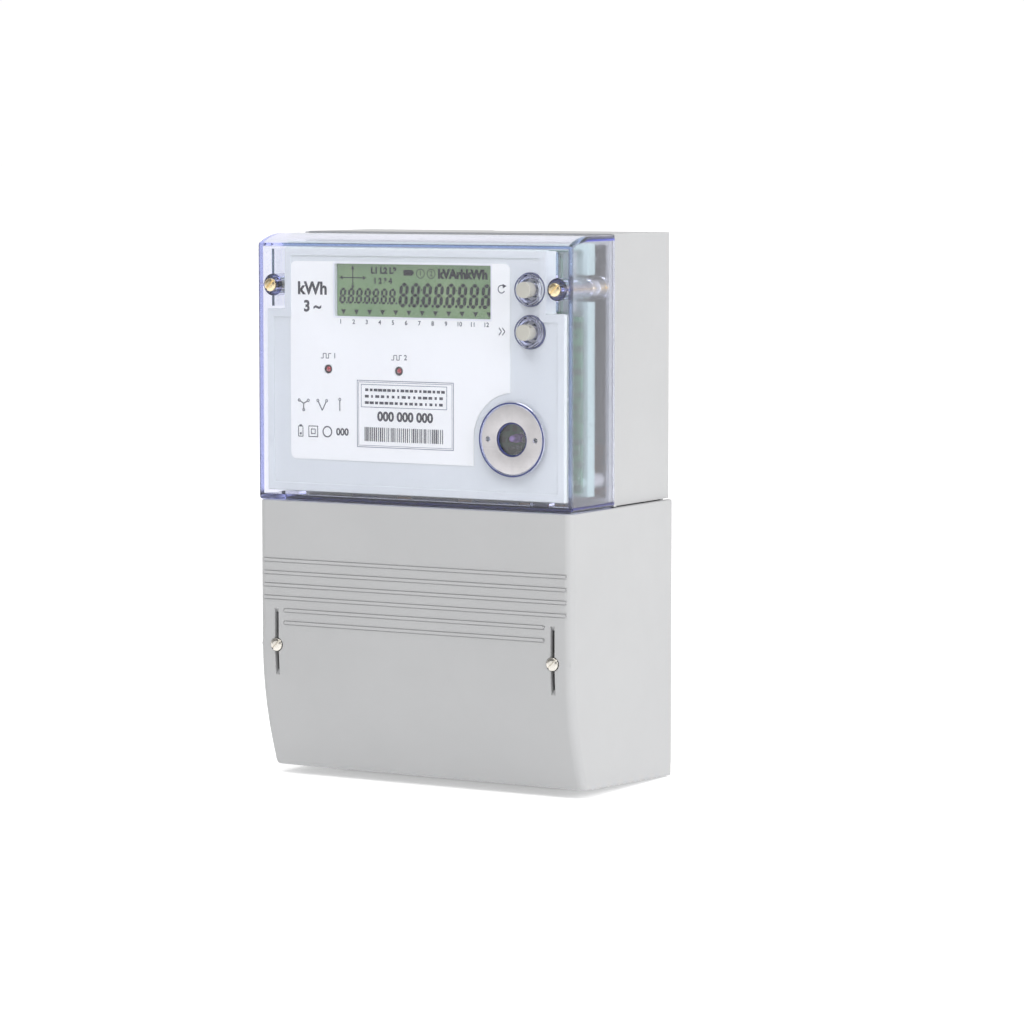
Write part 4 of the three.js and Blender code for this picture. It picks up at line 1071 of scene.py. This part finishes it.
# %% Pillars, webs, wells and the port seat
pillar_x, _, pillar_z = centre("cover_screw_right")
well_x = centre("reset_button").x
well_z = [centre(name + "_button").z for name in ("reset", "select")]
for side in (-1, 1):
    x = side * pillar_x
    web_x = (METER_LEFT + 1, -pillar_x) if side < 0 else (pillar_x, METER_RIGHT - 1)
    hook_x = (-73, -63) if side < 0 else (63, 73)
    clear = shaped(
        clear, "UNION", rod(x, pillar_z, 5.2, METER_FRONT + 0.6, -60.3),
        block((x - 0.7, x + 0.7), (METER_FRONT + 1, -84), (pillar_z - 10, pillar_z + 17)),
        block(web_x, (METER_FRONT + 1, -62), (pillar_z - 0.6, pillar_z + 0.6)),
        block(hook_x, (METER_FRONT + 1, -90), (METER_LOW + 1, METER_LOW + 4.2)),
    )
well_profile = eased([(0, METER_FRONT - 0.8), (WELL_RADIUS, METER_FRONT - 0.8), (WELL_RADIUS, -91), (0, -91)], 0.5)
seat_profile = eased([(0, METER_FRONT - 0.6), (17.4, METER_FRONT - 0.6), (17.4, METER_FRONT + 1),
                      (0, METER_FRONT + 1)], 0.4)
clear = shaped(clear, "UNION", *[turned(well_profile, well_x, z, 64) for z in well_z],
               turned(seat_profile, PORT_X, PORT_Z, 96))
bore_profile = [(0, -101), (6.3, -101), (6.2, -99.0), (5.5, -98.5), (5.25, -97.9), (5.25, -92.2), (0, -92.2)]
cutters = [turned(bore_profile, well_x, z, 64) for z in well_z] + [rod(well_x, z, 2.5, -95, -90) for z in well_z]
for side in (-1, 1):
    x = side * pillar_x
    cutters += [rod(x, pillar_z, 2.4, -102, -50), rod(x, pillar_z, 4.0, -74.1, -50)]
recess = rod(PORT_X, PORT_Z, 16.3, -101, METER_FRONT + 0.9, 96)
pin_rods = [rod(PORT_X + side * PIN_OUT, PORT_Z, 0.9, METER_FRONT - 0.3, METER_FRONT + 2, 24) for side in (-1, 1)]
recess = shaped(recess, "DIFFERENCE", *pin_rods)
clear = shaped(clear, "DIFFERENCE", *cutters, recess)
shown("meter_cover_moulding", smoothed(clear), "clear_polycarbonate", "meter_cover", "meter_cover")

# The dark ring inside the port's hole is painted shade: it stands for the dark wall of the window seen through the
# clear cover.
window_rim = eased([(7.2, -97.2), (7.2, -98.0), (7.95, -98.0), (7.95, -97.0), (7.2, -97.0), (7.2, -97.1)], 0.15)
shown("optical_port_window_rim", turned(window_rim, PORT_X, PORT_Z, 64, closed=True), "dark_plastic", "rear_case",
      finish=violet_line)

# %% Lenses of the port and the pulse lamps
for node in ("infrared_emitter", "infrared_receiver"):
    (low_x, high_x), (front, back), (low_z, high_z) = span(node)
    lens = eased([(0, front), (1.2, front + 0.25), (1.62, front + 1.3), (1.62, -88), (2, -88), (2, back),
                  (0, back)], 0.35)
    finish = violet_lens if node == "infrared_emitter" else dark_plastic
    shown(node + "_lens", turned(lens, (low_x + high_x) / 2, (low_z + high_z) / 2, 32), slot_of[node],
          "rear_case", node, finish=finish)

for node in ("pulse_led_1", "pulse_led_2"):
    (low_x, high_x), (front, back), (low_z, high_z) = span(node)
    x, z = (low_x + high_x) / 2, (low_z + high_z) / 2
    lens = turned(eased([(0, front), (1.1, front + 0.25), (1.5, front + 1.0), (1.5, front + 4), (1.9, front + 4),
                         (1.9, front + 5), (0, front + 5)], 0.4), x, z, 40)
    leads = [turned([(0, front + 4.6), (0.25, front + 4.6), (0.25, back), (0, back)], x + shift, z, 8)
             for shift in (-0.9, 0.9)]
    shown(node + "_lens", together(lens, *leads), "red_lens", "rear_case", node)
    collar = eased([(1.55, front + 0.75), (1.55, front + 0.2), (2.3, front + 0.2), (2.3, front + 0.75)], 0.15)
    shown(node + "_collar", turned(collar, x, z, 40, closed=True), "dark_plastic", "rear_case")
print("2 port lenses, 2 pulse lamps in dark collars")

# %% [markdown]
# ## Print on the faceplate
#
# The nameplate is printed film. Ink has almost no thickness, but here each mark is a real sheet a few hundredths
# of a millimetre thick, so it needs no image and keeps its edge from any distance. Signs are flat outlines, and
# figures come from text curves. All wording is left out; only figures, units and plain signs are used.

# %% Flat outlines and figures
LABEL_FRONT = span("label_sheet")[1][0]
INK = 0.035


def printed(text, x, z, size, low, high, bold=0.0, align="CENTER"):
    """Figures or units as a thin sheet, centred at a height."""
    curve = bpy.data.curves.new("figures", "FONT")
    curve.body = text
    curve.size = size
    curve.align_x = align
    curve.align_y = "CENTER"
    curve.extrude = (high - low) / 2
    curve.offset = bold
    mesh = stood_up(curve, low, high)
    mesh.transform(Matrix.Translation((x, 0, z)))
    return mesh


def line(start, end, width):
    """The outline of a straight stroke."""
    start, end = Vector(start), Vector(end)
    across = (end - start).normalized().orthogonal() * width / 2
    return [start + across, start - across, end - across, end + across]


def inked(name, *meshes, finish=None):
    return shown(name, together(*meshes), "label_film", "rear_case", finish=finish or print_ink)


INK_DEPTH = (LABEL_FRONT - INK, LABEL_FRONT + 0.01)

# %% Signs on the nameplate
LCD_X, LCD_Y, LCD_Z = span("lcd_glass")
LCD_WINDOW = ((LCD_X[0] + 2.5, LCD_X[1] - 2.5), (LCD_Z[0] + 2.5, LCD_Z[1] - 2.5))
MARKER_COUNT = 12
marker_x = [-39.7 + 7.2 * i for i in range(MARKER_COUNT)]

numbers = [
    printed(str(i + 1), x, LCD_WINDOW[1][0] - 2.6, 2.9, *INK_DEPTH, bold=0.05) for i, x in enumerate(marker_x)
]
heading = [
    printed("kWh", -55.5, 233.2, 8.2, *INK_DEPTH, bold=0.28),
    printed("3 ~", -55.5, 224.8, 7.2, *INK_DEPTH, bold=0.25),
]
signs = []
for node, number in (("pulse_led_1", "1"), ("pulse_led_2", "2")):
    x, _, z = centre(node)
    signs.append(printed(number, x + 3.6, z + 6.2, 3.4, *INK_DEPTH, bold=0.06))
    wave = [(-4.2, 0), (-2.8, 0), (-2.8, 2.2), (-1.2, 2.2), (-1.2, 0), (0.2, 0), (0.2, 2.2), (1.6, 2.2)]
    corners = [Vector((x + u, z + 5.1 + v)) for u, v in wave]
    signs += [flat([line(a, b, 0.35)], *INK_DEPTH) for a, b in zip(corners, corners[1:])]

# Reset: a ring that is almost closed, with an arrow head. Select: two chevrons.
_, _, reset_z = centre("reset_button")
turns = [math.radians(40 + 290 * i / 24) for i in range(25)]
arrow = [(47.6 + 2.0 * math.cos(a), reset_z + 2.0 * math.sin(a)) for a in turns]
arrow += [(47.6 + 1.55 * math.cos(a), reset_z + 1.55 * math.sin(a)) for a in reversed(turns)]
signs.append(flat([arrow], *INK_DEPTH))
signs.append(flat([[(48.3, reset_z + 0.3), (50.3, reset_z + 1.5), (48.2, reset_z + 2.4)]], *INK_DEPTH))
_, _, select_z = centre("select_button")
for shift in (0, 1.8):
    point = Vector((47.6 + shift, select_z))
    for side in (-1, 1):
        signs.append(flat([line(point, point + Vector((-1.4, side * 1.7)), 0.45)], *INK_DEPTH))

# Three ways of wiring: a star, a vee and a single line, each with open ends.
def wiring(x, z, spokes, reach=2.4):
    parts = []
    for angle in spokes:
        tip = Vector((math.cos(math.radians(angle)), math.sin(math.radians(angle)))) * reach
        end = Vector((x, z)) + tip + tip.normalized() * 0.6
        parts.append(flat([line((x, z), (x + tip.x, z + tip.y), 0.5)], *INK_DEPTH))
        parts.append(flat([circle(*end, 0.75, 16), circle(*end, 0.35, 16)], *INK_DEPTH))
    return parts


signs += wiring(-60.6, 179, (150, 30, 270)) + wiring(-50.2, 176, (62, 118), 4.6) + wiring(-40.4, 176, (90,), 4.8)

# Second row: a battery, a double square for double insulation, and a ring with a tick.
signs += [
    flat([rectangle(-63.8, -60.9, 163.2, 168.4, 0.4), rectangle(-63.4, -61.3, 163.6, 168.0, 0.2)], *INK_DEPTH),
    flat([rectangle(-63.0, -61.7, 168.4, 169.0)], *INK_DEPTH),
    flat([rectangle(-62.9, -61.8, 164.2, 165.2)], *INK_DEPTH),
    flat([rectangle(-58.0, -52.6, 163.2, 168.6), rectangle(-57.6, -53.0, 163.6, 168.2)], *INK_DEPTH),
    flat([rectangle(-56.6, -54.0, 164.6, 167.2), rectangle(-56.2, -54.4, 165.0, 166.8)], *INK_DEPTH),
    flat([circle(-47.4, 166, 2.7), circle(-47.4, 166, 2.1)], *INK_DEPTH),
    printed("000", -39.0, 166, 4.6, *INK_DEPTH, bold=0.15),
]
inked("nameplate_print", *numbers, *heading, *signs)

# %% [markdown]
# The rating panel is a framed box with three lines of small print, one bold number and a bar code. The small
# print is only word-length dashes. Dashes and bars both come from one rule: a row of thin boxes whose widths
# are random but fixed by a seed.

# %% The bar rule
bars, bars_in = rule("bars", {
    "Count": ("Int", 40), "Pitch": ("Float", 1.1), "Thinnest": ("Float", 0.2), "Widest": ("Float", 0.9),
    "Height": ("Float", 7.0), "Depth": ("Float", INK), "Seed": ("Int", 3), "Finish": ("Material", None),
})
step = put(bars, "ShaderNodeCombineXYZ", {0: bars_in["Pitch"]})
places = put(bars, "GeometryNodeMeshLine", {"Count": bars_in["Count"], "Offset": step.outputs[0]}, mode="OFFSET")
bar = put(bars, "GeometryNodeMeshCube")
width = put(
    bars, "FunctionNodeRandomValue", {2: bars_in["Thinnest"], 3: bars_in["Widest"], "Seed": bars_in["Seed"]},
    data_type="FLOAT",
)
scale = put(bars, "ShaderNodeCombineXYZ", {0: width.outputs[1], 1: bars_in["Depth"], 2: bars_in["Height"]})
row = put(
    bars, "GeometryNodeInstanceOnPoints",
    {"Points": places.outputs[0], "Instance": bar.outputs[0], "Scale": scale.outputs[0]},
)
ended(bars, row.outputs[0], bars_in["Finish"])

# %% The rating panel
PANEL = ((-30.8, 22.0), (159.4, 190.9))
INNER = ((-28.6, 18.4), (178.2, 189.0))
(px0, px1), (pz0, pz1) = PANEL
(ix0, ix1), (iz0, iz1) = INNER
frames = [
    flat([rectangle(px0, px1, pz0, pz1), rectangle(px0 + 0.3, px1 - 0.3, pz0 + 0.3, pz1 - 0.3)], *INK_DEPTH),
    flat([rectangle(px0 + 0.8, px1 - 0.8, pz0 + 0.8, pz1 - 0.8),
          rectangle(px0 + 1.0, px1 - 1.0, pz0 + 1.0, pz1 - 1.0)], *INK_DEPTH),
    flat([rectangle(ix0, ix1, iz0, iz1), rectangle(ix0 + 0.25, ix1 - 0.25, iz0 + 0.25, iz1 - 0.25)], *INK_DEPTH),
]
inked("rating_frames", *frames, finish=grey_ink)


def row_of_bars(x, z, **values):
    made = follow(bars, Finish=print_ink, Depth=INK + 0.01, **values)
    made.transform(Matrix.Translation((x, (INK_DEPTH[0] + INK_DEPTH[1]) / 2, z)))
    return made


small_print = [
    row_of_bars(-25.4, 186.4, Count=18, Pitch=2.45, Thinnest=0.9, Widest=2.3, Height=1.25, Seed=11),
    row_of_bars(-25.4, 183.4, Count=15, Pitch=2.9, Thinnest=0.8, Widest=2.5, Height=1.25, Seed=12),
    row_of_bars(-25.4, 180.4, Count=16, Pitch=2.7, Thinnest=0.9, Widest=2.4, Height=1.25, Seed=14),
]
bar_code = row_of_bars(-26.4, 165.6, Count=41, Pitch=1.06, Thinnest=0.2, Widest=0.85, Height=6.6, Seed=5)
number = printed("000 000 000", -4.4, 173.9, 6.0, *INK_DEPTH, bold=0.24)
inked("rating_print", *small_print, bar_code, number)
print("nameplate and rating panel printed")

# %% [markdown]
# ## The display
#
# The glass sits behind a window in the faceplate. Its dark segments are all switched on, as in a lamp test. A
# figure is seven slanted strokes with pointed ends, and the rule for rows repeats it at an even pitch, and the
# marker triangles below it too.

# %% Figures of the display
SLANT = 0.1
LCD_FRONT = LCD_Y[0]
SEGMENT_DEPTH = (-0.03, 0.01)


def figure(width, height, stroke):
    """One figure eight: seven pointed strokes and a point, slanted, with its lower left corner at zero."""
    gap = stroke * 0.12

    def bar(x0, z0, x1, z1):
        start, end = Vector((x0, z0)), Vector((x1, z1))
        along = (end - start).normalized()
        across = along.orthogonal() * stroke / 2
        start, end = start + along * gap, end - along * gap
        tip = along * stroke / 2
        points = [start, start + tip + across, end - tip + across, end, end - tip - across, start + tip - across]
        return [(p.x + SLANT * p.y, p.y) for p in points]

    left, right, low, half, top = stroke / 2, width - stroke / 2, stroke / 2, height / 2, height - stroke / 2
    strokes = [bar(left, low, right, low), bar(left, half, right, half), bar(left, top, right, top),
               bar(left, low, left, half), bar(left, half, left, top), bar(right, low, right, half),
               bar(right, half, right, top)]
    return flat([*strokes, circle(width + stroke * 0.75, low, stroke * 0.42, 10)], *SEGMENT_DEPTH)


small_row = in_rows(figure(3.5, 7.4, 1.15), (-42.2, LCD_FRONT, 226.4), 7, 4.55, finish=lcd_ink)
large_row = in_rows(figure(4.9, 11.4, 1.7), (-9.6, LCD_FRONT, 225.2), 8, 6.35, finish=lcd_ink)
marker = flat([[(-1.35, 2.0), (0, -0.4), (1.35, 2.0)]], *SEGMENT_DEPTH)
markers = in_rows(marker, (marker_x[0], LCD_FRONT, 221.7), MARKER_COUNT, 7.2, finish=lcd_ink)

ON_GLASS = (LCD_FRONT + SEGMENT_DEPTH[0], LCD_FRONT + SEGMENT_DEPTH[1])
icons = [
    printed("L1 L2 L3", -17.5, 242.0, 4.0, *ON_GLASS, bold=0.2),
    printed("1 2 3 4", -18.0, 237.2, 3.6, *ON_GLASS, bold=0.18),
    printed("kVArhkWh", 25.4, 240.8, 5.7, *ON_GLASS, bold=0.36),
    flat([circle(2.6, 241, 2.3), circle(2.6, 241, 1.95)], *ON_GLASS),
    flat([circle(8.4, 241, 2.3), circle(8.4, 241, 1.95)], *ON_GLASS),
    printed("1", 2.6, 241, 3.4, *ON_GLASS),
    printed("2", 8.4, 241, 3.4, *ON_GLASS),
    flat([rectangle(-6.6, -1.6, 240.0, 242.6, 0.3)], *ON_GLASS),
    flat([rectangle(-1.6, -1.0, 240.7, 241.9)], *ON_GLASS),
    flat([line((-40.5, 238.6), (-28.5, 238.6), 0.5)], *ON_GLASS),
    flat([line((-34.5, 234.6), (-34.5, 242.8), 0.5)], *ON_GLASS),
]
for x, z, turn in ((-41.2, 238.6, 180), (-27.8, 238.6, 0), (-34.5, 243.6, 90), (-34.5, 233.9, 270)):
    spin = Matrix.Rotation(math.radians(turn), 2)
    tip = [spin @ Vector(point) for point in ((0.7, 0), (-1.1, 1.0), (-1.1, -1.0))]
    icons.append(flat([[(x + p.x, z + p.y) for p in tip]], *ON_GLASS))
for x in (3.1, 22.1):
    icons += [flat([circle(x, z, 0.42, 10)], *ON_GLASS) for z in (228.6, 233.4)]
icons += [flat([circle(-23.9, z, 0.3, 10)], *ON_GLASS) for z in (228.6, 231.6)]
segments = together(small_row, large_row, markers, *icons)
shown("display_segments", segments, "lcd", "rear_case", finish=lcd_ink)
print(f"display segments: {len(segments.polygons)} faces")

# %% The window's rim and the faceplate's step
FACE_FRONT = LABEL_FRONT + 0.4
(wx0, wx1), (wz0, wz1) = LCD_WINDOW
rim = flat([rectangle(wx0 - 0.9, wx1 + 0.9, wz0 - 0.9, wz1 + 0.9, 0.8), rectangle(wx0, wx1, wz0, wz1, 0.3)],
           LABEL_FRONT - 0.12, FACE_FRONT + 1.9)
shown("display_window_rim", rounded(merged(rim, "rim"), 0.1), "white_plastic", "rear_case")

(fx0, fx1), (fy0, _), (fz0, fz1) = span("faceplate")
NOTCH_X, NOTCH_Z = 71.2, 223.5
STEP = 3.8


def plate_outline(inset):
    left, right, low, high = fx0 + inset, fx1 - inset, fz0 + inset, fz1 - inset
    notch_x, notch_z = NOTCH_X - inset, NOTCH_Z - inset
    return [(left, low), (right, low), (right, notch_z), (notch_x, notch_z), (notch_x, high), (-notch_x, high),
            (-notch_x, notch_z), (left, notch_z)]


step_ring = flat([plate_outline(0.2), plate_outline(STEP)], fy0 - 0.6, fy0 + 0.05)
shown("faceplate_step", rounded(merged(step_ring, "step"), 0.2), "face_plastic", "rear_case")
print("window rim and faceplate step")

# %% [markdown]
# ## Inside the case
#
# With the covers off, a meter shows its boards, a transformer for its own supply, a battery for the clock, and
# ring-shaped current transformers round the busbars. Small components repeat by the dozen, so one rule scatters
# them: points on a grid, some left out by a seeded chance, each with a small box whose proportions also vary.

# %% The component rule
parts, parts_in = rule("components", {
    "Width": ("Float", 100.0), "Height": ("Float", 80.0), "Columns": ("Int", 12), "Rows": ("Int", 9),
    "Share": ("Float", 0.5), "Smallest": ("Vector", (1.5, 0.8, 1.0)), "Largest": ("Vector", (4.0, 1.6, 2.5)),
    "Seed": ("Int", 1), "Finish": ("Material", None),
})
grid = put(parts, "GeometryNodeMeshGrid", {
    "Size X": parts_in["Width"], "Size Y": parts_in["Height"], "Vertices X": parts_in["Columns"],
    "Vertices Y": parts_in["Rows"],
})
stand = put(parts, "GeometryNodeTransform", {"Geometry": grid.outputs[0], "Rotation": (math.radians(90), 0, 0)})
size = put(
    parts, "FunctionNodeRandomValue", {0: parts_in["Smallest"], 1: parts_in["Largest"], "Seed": parts_in["Seed"]},
    data_type="FLOAT_VECTOR",
)
chance = put(
    parts, "FunctionNodeRandomValue", {"Probability": parts_in["Share"], "Seed": parts_in["Seed"]},
    data_type="BOOLEAN",
)
chip = put(parts, "GeometryNodeMeshCube")
scattered = put(parts, "GeometryNodeInstanceOnPoints", {
    "Points": stand.outputs[0], "Selection": chance.outputs[3], "Instance": chip.outputs[0],
    "Scale": size.outputs[0],
})
ended(parts, scattered.outputs[0], parts_in["Finish"])


def scatter(name, board, side, finish, slot="dark_plastic", margin=6, **values):
    """Scatters components over one side of a board: side is -1 for its front and 1 for its back."""
    (left, right), (front, back), (low, high) = span(board)
    face = front if side < 0 else back
    made = follow(parts, Width=right - left - 2 * margin, Height=high - low - 2 * margin, Finish=finish, **values)
    deepest = values["Largest"][1] / 2
    made.transform(Matrix.Translation(((left + right) / 2, face + side * deepest * 0.55, (low + high) / 2)))
    made = rounded(made, 0.12, 1)
    return shown(name, made, slot, body_of[board], finish=finish)


scatter("metering_board_chips", "metering_board", -1, dark_plastic, Columns=9, Rows=8, Share=0.2,
        Smallest=(3.0, 1.6, 3.0), Largest=(8.0, 2.0, 6.0), Seed=4)
scatter("metering_board_chip_parts", "metering_board", -1, white_plastic, slot="white_plastic", margin=4,
        Columns=26, Rows=19, Share=0.4, Smallest=(1.0, 0.8, 0.6), Largest=(2.2, 0.9, 1.2), Seed=9)
port_parts = follow(parts, Width=15, Height=15, Columns=7, Rows=6, Share=0.55, Smallest=(0.7, 1.2, 0.6),
                    Largest=(2.4, 2.4, 1.8), Seed=2, Finish=solder)
port_parts.transform(Matrix.Translation((PORT_X, span("display_board")[1][0] - 0.9, PORT_Z)))
shown("port_electronics", port_parts, "dark_plastic", "rear_case", finish=solder)
scatter("display_board_parts", "display_board", 1, dark_plastic, margin=14, Columns=22, Rows=14, Share=0.25,
        Smallest=(1.2, 1.0, 0.8), Largest=(3.0, 1.4, 2.0), Seed=21)

# %% [markdown]
# The supply transformer is a stack of thin iron plates through a taped winding. The stack is a row of plates,
# which the row rule makes; the winding is a box with well rounded corners. The battery and the capacitor are
# cans with a crimped groove, so they are turned.

# %% Supply transformer, capacitor and battery
(left, right), (front, back), (low, high) = span("supply_transformer")
lamination = block((0, 0.42), (front, -20), (188, 216))
plates = in_rows(rounded(lamination, 0.06, 1), (-50, 0, 0), 64, 0.5, finish=zinc_steel)
core = rounded(merged(block((-49.8, -18.2), (front + 0.3, -20.3), (188.3, 215.7)), "core"), 0.3)
shown("supply_transformer_core", together(plates, core), "zinc_steel", "rear_case", "supply_transformer")
winding = rounded(merged(block((-45, -23), (front, -14), (183, 221)), "winding"), 2.2, 4)
shown("supply_transformer_winding", winding, "battery_sleeve", "rear_case",
      finish=moulded("winding_tape", paint(196, 160, 60), 0.35, 0.12, 260.0, 0.1 * MM))

(left, right), (front, back), (low, high) = span("filter_capacitor")
x, z, radius = (left + right) / 2, (low + high) / 2, (right - left) / 2
can = eased([(0, back - 0.4), (radius - 1, back - 0.4), (radius - 0.6, back), (radius, back - 0.5),
             (radius, front + 4), (radius - 0.7, front + 3), (radius, front + 2), (radius, front),
             (0, front)], 0.5)
shown("filter_capacitor_can", turned(can, x, z, 48), slot_of["filter_capacitor"], "rear_case", "filter_capacitor")

(left, right), (front, back), (low, high) = span("backup_battery")
radius = (back - front) / 2
can = eased([(0, 0), (radius - 1, 0), (radius, 0.8), (radius, 2.4), (radius - 0.4, 2.9), (radius, 3.4),
             (radius, 24.4), (radius - 0.8, 25), (2.6, 25), (2.5, 27), (0, 27)], 0.4)
battery = turned(can, 0, 0, 56)
battery.transform(
    Matrix.Translation((left, (front + back) / 2, (low + high) / 2)) @ Matrix.Rotation(math.radians(-90), 4, "Z")
)
shown("backup_battery_cell", battery, "battery_sleeve", "rear_case", "backup_battery")

# %% Current transformers
for i in (1, 2, 3):
    node = f"current_transformer_{i}"
    (left, right), (front, back), (low, high) = span(node)
    half, radius = (high - low) / 2, (right - left) / 2
    section = eased([(radius, 0), (radius, half), (6, half), (6, -half), (radius, -half), (radius, -0.01)], 1.4, 4)
    core = turned(section, 0, 0, 72, closed=True)
    core.transform(
        Matrix.Translation(((left + right) / 2, (front + back) / 2, (low + high) / 2))
        @ Matrix.Rotation(math.radians(90), 4, "X")
    )
    shown(node + "_core", core, "core_epoxy", "rear_case", node)
print("3 current transformers")

# %% [markdown]
# ## Terminals
#
# Every terminal has two clamp screws, so there are sixteen. One is turned and slotted, and the row rule repeats
# it over eight columns and two levels. They sit in the round holes of the terminal block, just below its face.

# %% Clamp screws
CLAMP_LEVELS = (98.0, 110.0)
cage_1, cage_2 = centre("terminal_cage_1"), centre("terminal_cage_2")
cage_front = span("terminal_cage_1")[1][0]
clamp = eased([(0, 0), (2.35, 0), (2.35, 2.6), (1.6, 2.6), (1.6, 6.4), (0, 6.4)], 0.25)
slots = [block((-3, 3), (-1, 0.9), (-0.4, 0.4)), block((-0.4, 0.4), (-1, 0.9), (-3, 3))]
clamp_screw = crisp(shaped(turned(clamp, 0, 0, 32), "DIFFERENCE", *slots))
screws = in_rows(clamp_screw, (cage_1.x, cage_front - 1.0, CLAMP_LEVELS[0]), 8, cage_2.x - cage_1.x, 2,
                 CLAMP_LEVELS[1] - CLAMP_LEVELS[0], finish=zinc_steel)
shown("terminal_clamp_screws", crisp(screws), "zinc_steel", "rear_case")

small = eased([(0, 0), (1.7, 0), (1.7, 1.4), (1.0, 1.4), (1.0, 3.4), (0, 3.4)], 0.2)
small_slot = block((-3, 3), (-1, 0.6), (-0.25, 0.25))
small_screw = crisp(shaped(turned(small, 0, 0, 24), "DIFFERENCE", small_slot))
small_screws = in_rows(small_screw, (-26.25, -63.2, 120.5), 8, 7.5, finish=zinc_steel)
shown("auxiliary_clamp_screws", crisp(small_screws), "zinc_steel", "rear_case")

numbers = [printed(str(i + 1), cage_1.x + i * (cage_2.x - cage_1.x), 91.5, 4.2, -52.04, -51.98, bold=0.06)
           for i in range(8)]
shown("terminal_numbers", together(*numbers), "white_plastic", "rear_case")
print("16 clamp screws, 8 auxiliary screws")

# %% [markdown]
# ## The packed size
#
# The size of the packed model is printed in millimetres.

# %% Packed size
bpy.context.view_layer.update()
print("packed size in mm", [round((b - a) / MM, 1) for a, b in zip(*cad_box)])
